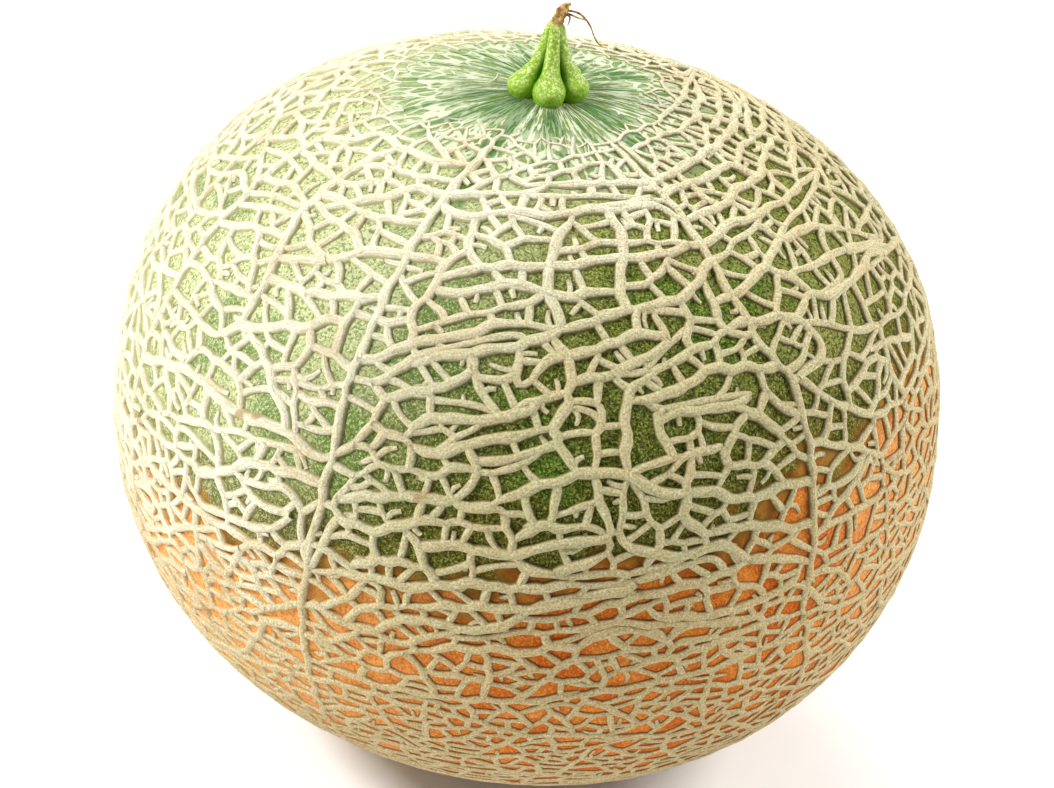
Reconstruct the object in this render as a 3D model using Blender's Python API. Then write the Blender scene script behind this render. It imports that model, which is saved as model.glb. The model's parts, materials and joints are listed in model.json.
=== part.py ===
"""Netted cantaloupe melon with its stem, standing on a small flat spot.

The fruit is one solid: a wide, slightly lopsided body whose rind lies a little below a net of raised
ridges. The net is grown the way the rind cracks: long wavy ridges run round the fruit first, straight
ones run down from stem to foot, and the cells between them are split again and again by shorter ridges
that end on the older ones. The ribbed green stem and its dried tip are pieces of their own.
Lengths are in millimetres until a piece is made. The front of the fruit faces -Y, the stem points up.
"""
import heapq
import math
import random

import bpy
import numpy as np
from mathutils import Vector
from mathutils.geometry import delaunay_2d_cdt, tessellate_polygon

MM = 0.001
GAP = 0.3                      # free space between one piece and the next

# Body: distance from its centre to the top of the net.
HALF_WIDTH = 80.0
RISE, TOP_ROUND = 68.2, 2.33   # centre to crown, and how square the shoulder is
DROP, FOOT_ROUND = 67.4, 2.09
LEAN, POLE_LEAN = -0.014, -0.057   # sideways lean of the whole body, and more of it toward the poles

# Net of ridges.
SEED = 7
CROWN_RING = 7.2               # degrees from the stem axis to the edge of the bare disc under the stem
FOOT_RING = 11.0               # the same at the foot, where the flat spot is
# Straight seams from stem to foot: degrees round from the front, and how far each leans near the stem.
SEAMS = ((-26, 0), (42, 0), (95, 4), (146, -3), (197, 5), (248, -4), (295, -6))
FIRST_CUTS = (42, 5, -35)      # height in degrees of the first ridges across between two seams
# Long wavy ridges of the front, each a row of (degrees round from the front, degrees up).
FRONT_RIDGES = (
    ((-26, 56), (-17, 55), (-10, 58), (0, 57), (14, 60), (35, 59)),
    ((-17, 46), (-8, 49), (18, 51), (65, 51)),
    ((-19, 43), (-14, 43), (-6, 46), (15, 46)),
    ((-18, 34), (6, 41), (26, 43), (34, 47), (42, 48)),
    ((1, 35), (18, 40), (26, 38)),
    ((6, 34), (22, 37)),
    ((15, 31), (25, 32), (29, 34), (41, 32)),
    ((19, 29), (32, 28), (39, 22)),
    ((-23, 30), (-21, 29), (-12, 31), (-9, 36)),
    ((-17, 24), (-14, 28), (0, 29), (5, 32)),
    ((-16, 24), (-12, 23), (-10, 25), (0, 27)),
    ((7, 57), (2, 49), (5, 41)),
    ((19, 58), (17, 43)),
    ((4, 39), (6, 34), (5, 25)),
    ((13, 34), (15, 32), (14, 23)),
    ((-49, 40), (-33, 46), (-22, 48)),
    ((-51, 61), (-54, 51), (-48, 31)),
    ((-48, 37), (-40, 37), (-28, 41)),
    ((-52, 27), (-48, 30), (-31, 36)),
    ((-66, 17), (-55, 21), (-36, 21), (-28, 19)),
    ((-45, 29), (-42, 29), (-40, 25), (-34, 23), (-34, 20)),
    ((-26, 32), (-17, 37), (-3, 41)),
    ((-26, 30), (-23, 30), (-18, 34)),
    ((35, 42), (46, 43), (57, 47), (70, 45), (75, 42)),
    ((50, 44), (57, 37), (77, 36), (82, 34)),
    ((36, 40), (40, 37), (45, 38), (51, 35), (51, 31), (43, 30)),
    ((-50, 10), (-46, 10), (-37, 15), (-27, 16)),
    ((-29, 11), (-22, 16), (-2, 18)),
    ((-24, 13), (-18, 12), (-10, 15)),
    ((-21, 7), (-13, 8)),
    ((-21, 5), (8, 8)),
    ((-14, 13), (-10, 6)),
    ((-27, -1), (-23, -3), (-17, -3), (-16, 0), (-3, 0), (2, 4)),
    ((-2, 18), (6, 22), (14, 23), (18, 19), (27, 19), (30, 16), (42, 16)),
    ((0, 14), (4, 16), (18, 15)),
    ((-12, 11), (-2, 11), (11, 14)),
    ((0, 11), (4, 9), (11, 12)),
    ((-11, 3), (4, 4), (9, 6)),
    ((-9, -4), (-4, -2), (2, -3), (12, 1)),
    ((12, 16), (8, 5)),
    ((23, 23), (21, 19), (25, 12)),
    ((12, 12), (18, 12), (21, 10), (28, 11), (31, 8), (39, 6)),
    ((10, 6), (21, 9)),
    ((11, 5), (31, 8)),
    ((11, 0), (21, 2), (29, 1), (40, 4)),
    ((27, 13), (42, 11)),
    ((16, -5), (37, -2)),
    ((30, 74), (60, 74), (82, 72), (122, 64), (132, 59)),
    ((41, 71), (60, 71), (95, 67), (126, 61)),
    ((6, 64), (68, 64), (119, 56)),
    ((12, 60), (65, 60), (72, 59), (69, 57), (76, 55)),
    ((37, 55), (70, 56), (76, 55), (80, 51), (101, 50), (114, 47)),
    ((-71, 56), (-61, 59), (-63, 63), (-51, 62), (-28, 65)),
    ((-52, 50), (-45, 51), (-33, 58), (-14, 61)),
)
ROW_HEIGHTS = range(56, -66, -9)       # degrees up of the long ridges of the sides and the back
ROW_LENGTH = (35, 80)                  # degrees round that one of them runs
ROW_WAVE = 2.2                         # degrees up and down
ROW_STEP = 8.0                         # degrees round from one place in a row to the next
ROW_GAP = (2, 10)                      # degrees round between two of them
FRONT_SPAN = 48                        # degrees either side of the front where they leave room
FRONT_HEIGHTS = (-5, 50)               # and the heights where they do
CELL_AREA = 270.0              # wanted area of a cell of the belly
WIDER = 1.7                    # cells of the belly grow this much wider than tall
STEEPER = 0.65                 # near the stem they grow taller than wide
UNEVEN = 0.33                  # spread of the cell sizes
LEAST_CELL = 14.0              # no long ridge cuts off a cell smaller than this
LEAST_SIDE = 0.15              # no side of the rind between ridges is shorter
SAME_SIDE = 0.12               # cosine of the angle from which a direction counts as beyond a cell's horizon
NEARLY_STRAIGHT = 0.35         # sine of the turn below which a ridge counts as running straight on
SNAP = 2.2                     # a ridge that meets another this close to a corner ends in the corner
PIECE = 8.0                    # length of a straight piece of ridge
SWAY = 0.5                     # how far a long ridge strays to either side
FAR = 60                       # a ridge looks this many of its last steps ahead for one to end on
RIDGE_HEIGHT = 1.7             # crest above the rind
RIDGE_HALF = (1.9, 1.75, 1.6, 1.5)   # half the width at the foot of a ridge, oldest to youngest

# How a ridge cuts a cell in two.
TRIES = 8                      # lines tried
TURN = 0.22                    # spread of their turn from straight across, in radians
SHIFT = 0.18                   # most that they miss the middle by, in sizes of the cell
NEAR_COST, SLANT_COST, SHARE_COST = 0.9, 0.8, 6.0   # of a junction close by, a slanting end, unequal parts
FAIR_SHARE = 0.33              # a part smaller than this costs
BOW, WAVE = 0.07, 0.035        # spread of the bend and the wave of a ridge, in its lengths

# How the seams run.
SEAM_STEPS = 22
SEAM_SWAY = 1.3                # degrees to either side
SEAM_WAVES = 9                 # degrees of height that one radian of the sway takes
SEAM_LEAN_TOP = 60             # degrees up where a seam leans by its full amount

# Where the cells change, in degrees down from the stem.
SHOULDER, SHOULDER_SPAN = 18, 30
UNDERSIDE, UNDERSIDE_SPAN = 140, 25

# Rounds that smooth the net, how far each goes, and the pull of a ridge that ends at a corner.
RELAX_ROUNDS, RELAX_PULL, BUTT_PULL = 3, 0.35, 0.5

# Stem: height above the crown, radius over the ribs, radius between them, half angle of a rib.
STEM_LOBES = 5
STEM_PROFILE = (
    (0.0, 6.3, 4.3, 36.0), (0.5, 7.2, 4.4, 36.0), (1.3, 7.6, 4.4, 36.0), (2.2, 7.1, 4.1, 35.0),
    (3.2, 5.9, 3.4, 32.0), (4.4, 4.55, 2.6, 28.0), (5.6, 3.6, 2.0, 27.0), (7.2, 2.9, 1.6, 27.0),
    (9.0, 2.3, 1.3, 27.0), (11.0, 1.85, 1.05, 29.0), (12.6, 1.6, 1.0, 31.0), (13.3, 1.3, 0.9, 33.0),
)
STEM_COLUMNS = 60
STEM_LEAN = 0.03               # sideways per millimetre of height

# Dried tip: places (right, back, up from the crown) and radii along the shrivelled end and its threads.
TIP_BODY = ((0.55, 0.0, 13.6, 0.95), (0.8, 0.0, 14.3, 1.1), (1.2, -0.1, 15.0, 1.0), (1.6, 0.0, 15.8, 1.05),
            (1.9, 0.1, 16.5, 0.8), (2.3, 0.1, 17.0, 0.5), (2.9, 0.0, 17.4, 0.35))
TIP_THREADS = (
    ((1.7, 0.0, 15.9), (2.8, 0.1, 15.9), (4.45, 0.3, 15.45), (5.85, 0.4, 14.3), (6.7, 0.4, 13.1),
     (7.6, 0.3, 11.1), (8.5, 0.2, 9.7), (9.1, 0.0, 9.45), (9.7, -0.3, 9.9)),
    ((1.6, -0.2, 15.5), (2.95, -0.4, 15.4), (4.3, -0.2, 14.75), (5.5, 0.2, 14.3), (6.1, 0.4, 14.0)),
    ((1.7, -0.5, 15.5), (2.9, -0.8, 15.1), (2.85, -0.9, 14.2), (2.6, -0.9, 13.4)),
)
THREAD_RADIUS = 0.33


def unit(v):
    return v / np.linalg.norm(v)


def direction(lon, lat):
    """Unit direction from the centre: lon degrees round from the front, lat degrees up."""
    lon, lat = math.radians(lon), math.radians(lat)
    return np.array([math.sin(lon) * math.cos(lat), -math.cos(lon) * math.cos(lat), math.sin(lat)])


def body_radius(d):
    """Distance from the centre to the net in direction d: a rounded body of turning, made uneven."""
    x, y, z = d
    half, roundness = (RISE, TOP_ROUND) if z > 0 else (DROP, FOOT_ROUND)
    turned = ((math.hypot(x, y) / HALF_WIDTH) ** roundness + (abs(z) / half) ** roundness) ** (-1 / roundness)
    return turned * (1 + x * z * (LEAN + POLE_LEAN * z * z))


def area_and_middle(xy):
    x, y = xy.T
    x2, y2 = np.roll(x, -1), np.roll(y, -1)
    cross = x * y2 - x2 * y
    area = cross.sum() / 2
    return area, np.array([((x + x2) * cross).sum(), ((y + y2) * cross).sum()]) / (6 * area)


def inside(xy, q):
    """True if point q lies in the polygon."""
    x, y = (xy - q).T
    x2, y2 = np.roll(x, -1), np.roll(y, -1)
    cut = (y > 0) != (y2 > 0)
    return int((x[cut] > y[cut] * (x2[cut] - x[cut]) / (y2[cut] - y[cut])).sum()) % 2 == 1


def meetings(xy, o, v):
    """Where the line o + t v meets the sides of a polygon: (t, side number, share along the side)."""
    e = np.roll(xy, -1, 0) - xy
    w = xy - o
    with np.errstate(divide="ignore", invalid="ignore"):
        det = v[1] * e[:, 0] - v[0] * e[:, 1]
        t = (w[:, 1] * e[:, 0] - w[:, 0] * e[:, 1]) / det
        s = (v[0] * w[:, 1] - v[1] * w[:, 0]) / det
    ok = np.isfinite(t) & (s >= 0) & (s < 1)
    return [(float(t[i]), int(i), float(s[i])) for i in np.nonzero(ok)[0]]


class Net:
    """Ridges on the body: corners as unit directions, cells as loops of corners, a rank for each ridge."""

    def __init__(self):
        self.p = []
        self.degree = []
        self.cells = {}
        self.side = {}
        self.rank = {}
        self.made = 0
        self.top = self.foot = None

    def add(self, d):
        self.p.append(unit(np.asarray(d, float)))
        self.degree.append(2)
        return len(self.p) - 1

    def add_cell(self, loop):
        self.made += 1
        self.cells[self.made] = loop
        for a, b in zip(loop, loop[1:] + loop[:1]):
            self.side[a, b] = self.made
        return self.made

    def mark(self, chain, rank):
        for a, b in zip(chain, chain[1:]):
            self.rank[frozenset((a, b))] = rank

    def split_cell(self, cell, chain, rank):
        """Runs a ridge through a cell, from one of its corners to another."""
        loop = self.cells.pop(cell)
        i = loop.index(chain[0])
        loop = loop[i:] + loop[:i]
        j = loop.index(chain[-1])
        self.mark(chain, rank)
        self.degree[chain[0]] += 1
        self.degree[chain[-1]] += 1
        return self.add_cell(loop[:j + 1] + chain[-2:0:-1]), self.add_cell(loop[j:] + chain[:-1])

    def divides(self, cell, chain):
        """True if a chain leaves two cells of some size, neither of them turned inside out."""
        loop = self.cells[cell]
        xy, frame = self.flat(cell)
        i = loop.index(chain[0])
        j = (loop.index(chain[-1]) - i) % len(loop)
        xy = np.roll(xy, -i, axis=0)
        middle = np.array([self.drop(self.p[k], frame) for k in chain[1:-1]]).reshape(-1, 2)
        parts = (np.r_[xy[:j + 1], middle[::-1]], np.r_[xy[j:], xy[:1], middle])
        return j > 0 and all(len(part) > 2 and area_and_middle(part)[0] > LEAST_CELL for part in parts)

    def flat(self, cell):
        """The cell laid flat on the plane that touches its middle, and that plane."""
        corners = np.array([self.p[i] for i in self.cells[cell]])
        c = unit(corners.mean(0))
        e = np.cross([0, 0, 1.0], c)
        e /= max(np.linalg.norm(e), 1e-9)
        n = np.cross(c, e)
        r = body_radius(c)
        return np.c_[corners @ e, corners @ n] / (corners @ c)[:, None] * r, (c, e, n, r)

    def lift(self, xy, frame):
        c, e, n, r = frame
        return unit(c + (xy[0] * e + xy[1] * n) / r)

    def drop(self, d, frame):
        c, e, n, r = frame
        return np.array([d @ e, d @ n]) * r / (d @ c)

    def roomy(self, cell, d, room):
        """True if direction d lies clear of the corners of its cell."""
        xy, frame = self.flat(cell)
        return np.linalg.norm(xy - self.drop(d, frame), axis=1).min() > room

    def find(self, d, among=None):
        """The cell that holds direction d."""
        for cell in among or self.cells:
            corners = np.array([self.p[i] for i in self.cells[cell]])
            if (corners @ d).min() < SAME_SIDE:
                continue
            xy, frame = self.flat(cell)
            if inside(xy, self.drop(d, frame)):
                return cell
        return None

    def meet(self, cell, hit, xy, frame, snap):
        """Where a line meets a side: a corner that is close by, or the place of a new one."""
        loop = self.cells[cell]
        i, s = hit[1], hit[2]
        j = (i + 1) % len(loop)
        if min(s, 1 - s) * np.linalg.norm(xy[j] - xy[i]) < snap:
            return loop[i] if s < 0.5 else loop[j]
        return loop[i], loop[j], self.lift(xy[i] * (1 - s) + xy[j] * s, frame)

    def settle(self, spot):
        """Puts the new corner of meet() into its side."""
        if isinstance(spot, int):
            return spot
        a, b, d = spot
        k = self.add(d)
        for i, j in ((a, b), (b, a)):
            cell = self.side.pop((i, j))
            self.cells[cell].insert(self.cells[cell].index(i) + 1, k)
            self.side[i, k] = self.side[k, j] = cell
        self.mark([a, k, b], self.rank.pop(frozenset((a, b))))
        return k

    def route(self, places, rank, snap):
        """A ridge along a row of (lon, lat), carried on at both ends to the ridges met there."""
        row = swayed([direction(*place) for place in places])
        row.append(unit(row[-1] + (row[-1] - row[-2]) * FAR))
        cell = self.find(row[0])
        if cell in (None, self.top, self.foot):
            return
        xy, frame = self.flat(cell)
        o, q = self.drop(row[0], frame), self.drop(row[1], frame)
        back = min(h for h in meetings(xy, o, o - q) if h[0] > 0)
        chain = [self.settle(self.meet(cell, back, xy, frame, snap))]
        for n, d in enumerate(row):
            last = n == len(row) - 1
            while True:
                xy, frame = self.flat(cell)
                loop = self.cells[cell]
                here = self.drop(self.p[chain[-1]], frame)
                if d @ frame[0] < SAME_SIDE:
                    d = unit(self.p[chain[-1]] + 0.3 * unit(d - self.p[chain[-1]]))
                step = self.drop(d, frame) - here
                i = loop.index(chain[-1]) if chain[-1] in loop else None
                own = () if i is None else (i, (i - 1) % len(loop))
                ahead = [h for h in meetings(xy, here, step) if 0 < h[0] <= 1 and h[1] not in own]
                if not ahead:
                    break
                hit = min(ahead)
                beyond = self.lift(here + step * hit[0] + unit(step) * 0.5, frame)
                k = self.settle(self.meet(cell, hit, xy, frame, snap))
                if self.divides(cell, chain + [k]):
                    self.split_cell(cell, chain + [k], rank)
                cell = self.find(beyond, [g for g, l in self.cells.items() if k in l])
                if last or cell in (None, self.top, self.foot):
                    return
                chain = [k]
            if not last and self.roomy(cell, d, snap):
                chain.append(self.add(d))


def swayed(row):
    """The row with places put in between its far ones, each a little to one side or the other."""
    out = row[:1]
    for a, b in zip(row, row[1:]):
        count = int(np.linalg.norm(b - a) * HALF_WIDTH / PIECE + 0.5)
        for k in range(1, count):
            side = unit(np.cross(a, b)) * SWAY / HALF_WIDTH * (-1) ** (k + len(out))
            out.append(unit(a + (b - a) * k / count + side))
        out.append(b)
    return out


def ring_corner(net, a, b):
    """A corner halfway between two corners of a level ring."""
    z = net.p[a][2]
    d = net.p[a] + net.p[b]
    grow = math.sqrt(1 - z * z) / math.hypot(d[0], d[1])
    return net.add([d[0] * grow, d[1] * grow, z])


def seamed_net():
    """Seams from a ring round the stem to a ring at the foot, and the first ridges across."""
    net = Net()
    lats = np.linspace(90 - CROWN_RING, -90 + FOOT_RING, SEAM_STEPS)
    spacing = lats[0] - lats[1]
    lines = []
    for k, (lon, lean) in enumerate(SEAMS):
        line = []
        for lat in lats:
            sway = SEAM_SWAY * math.sin(lat / SEAM_WAVES + 1.7 * k) * math.cos(math.radians(lat))
            line.append(net.add(direction(lon + lean * max(lat, 0) / SEAM_LEAN_TOP + sway, lat)))
        net.mark(line, 2)
        lines.append(line)
    pairs = list(zip(lines, lines[1:] + lines[:1]))
    heads = [ring_corner(net, a[0], b[0]) for a, b in pairs]
    heels = [ring_corner(net, a[-1], b[-1]) for a, b in pairs]
    crown = [v for line, head in zip(lines, heads) for v in (line[0], head)]
    under = [v for line, heel in zip(lines, heels) for v in (line[-1], heel)]
    for v in crown + under:
        net.degree[v] = 3
    net.mark(crown + crown[:1], 2)
    net.mark(under + under[:1], 2)
    net.top = net.add_cell(crown)
    net.foot = net.add_cell(under[::-1])
    for k, (left, right) in enumerate(pairs):
        rest = net.add_cell(left + [heels[k]] + right[::-1] + [heads[k]])
        for n, lat in enumerate(FIRST_CUTS):
            i = int(round((lats[0] - lat) / spacing)) + (k * 2 + n) % 3 - 1
            j = i + (1 if (k + n) % 2 else -1)
            a, b = net.p[left[i]], net.p[right[j]]
            between = [net.add(a * (1 - t) + b * t) for t in (0.25, 0.5, 0.75)]
            two = net.split_cell(rest, [left[i]] + between + [right[j]], 1)
            rest = two[0] if heels[k] in net.cells[two[0]] else two[1]
    return net


def aim(d):
    """The wanted area of a cell and how much wider than tall it should be, from where it lies."""
    low = math.degrees(math.acos(max(-1, min(1, d[2]))))
    belly = min(max((low - SHOULDER) / SHOULDER_SPAN, 0), 1)
    under = min(max((low - UNDERSIDE) / UNDERSIDE_SPAN, 0), 1)
    wide = STEEPER + (WIDER - STEEPER) * belly
    return CELL_AREA * (0.5 + 0.5 * belly) * (1 - 0.35 * under), wide + (1 - wide) * under


def polygon_between(xy, a, b):
    """The piece of a polygon between two meetings of a line."""
    n = len(xy)
    ends = [xy[h[1]] * (1 - h[2]) + xy[(h[1] + 1) % n] * h[2] for h in (a, b)]
    return np.array([ends[0]] + [xy[(a[1] + 1 + k) % n] for k in range((b[1] - a[1]) % n)] + [ends[1]])


def best_cut(net, cell, xy, frame, rng):
    """The best of a few lines across a cell: short, square to the sides, away from other junctions."""
    loop = net.cells[cell]
    total, middle = area_and_middle(xy)
    squash = np.array([1, aim(frame[0])[1]])
    q = (xy - middle) * squash
    gaps = np.linalg.norm(q[:, None] - q[None], axis=2)
    i, j = np.unravel_index(np.argmax(gaps), gaps.shape)
    axis = unit(q[i] - q[j])
    size = math.sqrt(total)
    busy = np.array([net.degree[k] > 2 for k in loop])
    best = None
    for _ in range(TRIES):
        turn = rng.gauss(0, TURN)
        c, s = math.cos(turn), math.sin(turn)
        v = unit(np.array([-axis[1] * c - axis[0] * s, axis[0] * c - axis[1] * s]) / squash)
        o = middle + axis / squash * rng.uniform(-SHIFT, SHIFT) * size
        hits = meetings(xy, o, v) if inside(xy, o) else []
        ahead = [h for h in hits if h[0] > 0]
        back = [h for h in hits if h[0] <= 0]
        if not ahead or not back:
            continue
        a, b = max(back), min(ahead)
        score = (b[0] - a[0]) / size
        for h in (a, b):
            side = unit(xy[(h[1] + 1) % len(loop)] - xy[h[1]])
            near = np.linalg.norm(xy[busy] - (o + v * h[0]), axis=1).min() if busy.any() else size
            score += NEAR_COST * math.exp(-(near / (1.6 * SNAP)) ** 2) + SLANT_COST * (side @ v) ** 2
        share = abs(area_and_middle(polygon_between(xy, a, b))[0] / total)
        score += SHARE_COST * max(FAIR_SHARE - min(share, 1 - share), 0)
        if best is None or score < best[0]:
            best = (score, a, b, v)
    return best


def split_once(net, cell, rng):
    """Splits a cell with a slightly curved ridge and gives the two new cells."""
    xy, frame = net.flat(cell)
    best = best_cut(net, cell, xy, frame, rng)
    if best is None:
        return ()
    _, a, b, v = best
    length = b[0] - a[0]
    first, second = [net.settle(spot) for spot in [net.meet(cell, h, xy, frame, SNAP) for h in (a, b)]]
    ends = [net.drop(net.p[k], frame) for k in (first, second)]
    across = np.array([-v[1], v[0]])
    bow, wave = rng.gauss(0, BOW) * length, rng.gauss(0, WAVE) * length
    count = max(int(round(length / PIECE)) - 1, 0)
    for bend in (1, 0):
        between = []
        for k in range(1, count + 1):
            t = k / (count + 1)
            sag = bend * (bow * math.sin(math.pi * t) + wave * math.sin(2 * math.pi * t))
            between.append(ends[0] * (1 - t) + ends[1] * t + across * sag)
        if all(inside(xy, m) for m in between):
            break
    else:
        between = []
    loop = net.cells[cell]
    gap = (loop.index(second) - loop.index(first)) % len(loop)
    if gap == 0 or (gap in (1, len(loop) - 1) and not between):
        return ()
    chain = [first] + [net.add(net.lift(m, frame)) for m in between] + [second]
    return net.split_cell(cell, chain, 2 if area_and_middle(xy)[0] > 3 * CELL_AREA else 3)


def grow(net, rng):
    """Splits the largest cells, measured against what is wanted there, until all are small enough."""
    heap = []

    def push(cell):
        xy, frame = net.flat(cell)
        size = abs(area_and_middle(xy)[0]) / aim(frame[0])[0]
        heapq.heappush(heap, (-size * math.exp(rng.gauss(0, UNEVEN)), cell))

    for cell in list(net.cells):
        if cell not in (net.top, net.foot):
            push(cell)
    while heap and heap[0][0] < -1:
        for cell in split_once(net, heapq.heappop(heap)[1], rng):
            push(cell)


def relax(net):
    """Draws every corner toward its neighbours, most of all along the ridge that runs through it."""
    near = [[] for _ in net.p]
    for edge in net.rank:
        a, b = tuple(edge)
        near[a].append(b)
        near[b].append(a)
    held = set(net.cells[net.top]) | set(net.cells[net.foot])
    p = np.array(net.p)
    rows = []
    for k, around in enumerate(near):
        if len(around) < 2 or k in held:
            continue
        weight = np.ones(len(around))
        if len(around) > 2:
            arms = [unit(p[m] - p[k]) for m in around]
            pairs = [(arms[x] @ arms[y], x, y) for x in range(len(arms)) for y in range(x)]
            through = min(pairs)[1:]
            weight = np.array([1.0 if x in through else BUTT_PULL for x in range(len(arms))])
        rows += [(k, m, w / weight.sum()) for m, w in zip(around, weight)]
    where = np.array([row[0] for row in rows])
    other = np.array([row[1] for row in rows])
    weight = np.array([row[2] for row in rows])
    moving = np.unique(where)
    for _ in range(RELAX_ROUNDS):
        mean = np.zeros_like(p)
        np.add.at(mean, where, p[other] * weight[:, None])
        p[moving] += RELAX_PULL * (mean[moving] - p[moving])
        p /= np.linalg.norm(p, axis=1, keepdims=True)
    net.p = list(p)


def long_rows(rng):
    """Long wavy ridges round the sides and the back, in rows one above the other."""
    for n, height in enumerate(ROW_HEIGHTS):
        start = FRONT_SPAN if FRONT_HEIGHTS[0] < height < FRONT_HEIGHTS[1] else 0
        lon = start + rng.uniform(0, 20)
        end = 360 - start
        while lon < end - ROW_LENGTH[0]:
            length = min(rng.uniform(*ROW_LENGTH), end - lon)
            phase, drift = rng.uniform(0, 6.3), rng.uniform(-0.05, 0.05)
            row = []
            for turn in np.arange(lon, lon + length, ROW_STEP):
                lat = height + drift * (turn - lon) + ROW_WAVE * math.sin(turn / 7 + phase)
                row.append((turn, lat))
            yield row
            lon += length + rng.uniform(*ROW_GAP)


def melon_net():
    rng = random.Random(SEED)
    net = seamed_net()
    for row in FRONT_RIDGES:
        net.route(row, 0, SNAP)
    for row in long_rows(rng):
        net.route(row, 1, SNAP)
    grow(net, rng)
    relax(net)
    return net


def inset(net, cell):
    """The corners of a cell drawn in by half the width of the ridge along each side."""
    xy, frame = net.flat(cell)
    loop = net.cells[cell]
    ahead = np.roll(xy, -1, 0) - xy
    ahead /= np.linalg.norm(ahead, axis=1, keepdims=True)
    inward = np.c_[-ahead[:, 1], ahead[:, 0]]
    half = np.array([RIDGE_HALF[net.rank[frozenset(side)]] for side in zip(loop, loop[1:] + loop[:1])])
    for _ in range(12):
        drawn = []
        for k in range(len(loop)):
            a, b = inward[k - 1], inward[k]
            det = a[0] * b[1] - a[1] * b[0]
            if abs(det) < NEARLY_STRAIGHT:
                both = a + b if a @ b > 0 else ahead[k - 1] - ahead[k]
                move = unit(both) * (half[k - 1] + half[k]) / 2
            else:
                move = np.array([half[k - 1] * b[1] - half[k] * a[1], half[k] * a[0] - half[k - 1] * b[0]]) / det
            drawn.append(xy[k] + move)
        drawn = np.array(drawn)
        sides = np.roll(drawn, -1, 0) - drawn
        if ((sides * ahead).sum(1) > LEAST_SIDE).all() and all(inside(xy, q) for q in drawn):
            return drawn, frame
        half = half * 0.8
    middle = area_and_middle(xy)[1]
    return middle + (xy - middle) * 0.5, frame


def melon_surface(net):
    """Crest points over the corners of the net, and for each cell its slopes and its floor of rind."""
    points = [d * body_radius(d) for d in net.p]
    level = -np.mean([points[k][2] for k in net.cells[net.foot]])
    crown = np.mean([points[k][2] for k in net.cells[net.top]]) + level
    points = [p + np.array([0, 0, level]) for p in points]
    for p in points:
        p[2] = max(p[2], 0)
    for cell, height in ((net.foot, 0), (net.top, crown)):
        for k in net.cells[cell]:
            points[k][2] = height
    faces = []
    for cell, loop in net.cells.items():
        if cell in (net.top, net.foot):
            faces += triangles_of(np.array([points[k][:2] for k in loop]), loop)
            continue
        drawn, frame = inset(net, cell)
        floor = []
        for q in drawn:
            d = net.lift(q, frame)
            floor.append(len(points))
            points.append(d * (body_radius(d) - RIDGE_HEIGHT) + np.array([0, 0, level]))
        for k in range(len(loop)):
            m = (k + 1) % len(loop)
            faces.append((loop[k], loop[m], floor[m]))
            faces.append((loop[k], floor[m], floor[k]))
        faces += triangles_of(drawn, floor)
    return np.array(points), faces, crown


def triangles_of(xy, corners):
    """A flat polygon as triangles with short sides, that turn the way its corners run."""
    count = len(xy)
    sides = [(k, (k + 1) % count) for k in range(count)]
    places = [Vector((x, y)) for x, y in xy]
    found = delaunay_2d_cdt(places, sides, [], 1, 1e-6)
    if len(found[0]) == count and len(found[2]) == count - 2:
        came_from = [old[0] for old in found[3]]
        triangles = [[came_from[i] for i in t] for t in found[2]]
    else:
        triangles = tessellate_polygon([[Vector((x, y, 0)) for x, y in xy]])
    return [tuple(corners[i] for i in sorted(t)) for t in triangles]


def material(name, colour, roughness):
    mat = bpy.data.materials.new(name)
    mat.use_nodes = True
    shader = mat.node_tree.nodes["Principled BSDF"]
    shader.inputs["Base Color"].default_value = (*colour, 1)
    shader.inputs["Roughness"].default_value = roughness
    shader.inputs["Metallic"].default_value = 0
    return mat


def piece(name, points, faces, mat, collection=None):
    """A mesh object from points in millimetres."""
    mesh = bpy.data.meshes.new(name)
    mesh.from_pydata([tuple(p) for p in np.asarray(points) * MM], [], [tuple(map(int, f)) for f in faces])
    mesh.validate()
    mesh.materials.append(mat)
    ob = bpy.data.objects.new(name, mesh)
    (collection or bpy.context.scene.collection).objects.link(ob)
    return ob


def rings_closed(rings):
    """Points and faces of a closed skin over a row of rings, with a point in the middle of each end."""
    count = len(rings[0])
    points = [p for ring in rings for p in ring]
    faces = []
    for row in range(len(rings) - 1):
        for k in range(count):
            a, b = row * count + k, row * count + (k + 1) % count
            faces += [(a, b, b + count), (a, b + count, a + count)]
    for ring, first in ((0, 0), (-1, (len(rings) - 1) * count)):
        middle = len(points)
        points.append(np.mean(rings[ring], axis=0))
        for k in range(count):
            a, b = first + k, first + (k + 1) % count
            faces.append((middle, b, a) if ring == 0 else (middle, a, b))
    return np.array(points), faces


def stem_rings(base):
    """Level rings of the stem: five rounded ribs that swell to toes at the foot."""
    rings = []
    for height, over, between, half in STEM_PROFILE:
        ring = []
        for k in range(STEM_COLUMNS):
            turn = 2 * math.pi * k / STEM_COLUMNS
            off = math.degrees((turn + math.pi / STEM_LOBES) % (2 * math.pi / STEM_LOBES) - math.pi / STEM_LOBES)
            rib = math.sqrt(max(0, 1 - (off / half) ** 2))
            r = between + (over - between) * rib
            ring.append((r * math.sin(turn) + STEM_LEAN * height, -r * math.cos(turn), base + height))
        rings.append(np.array(ring))
    return rings


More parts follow.
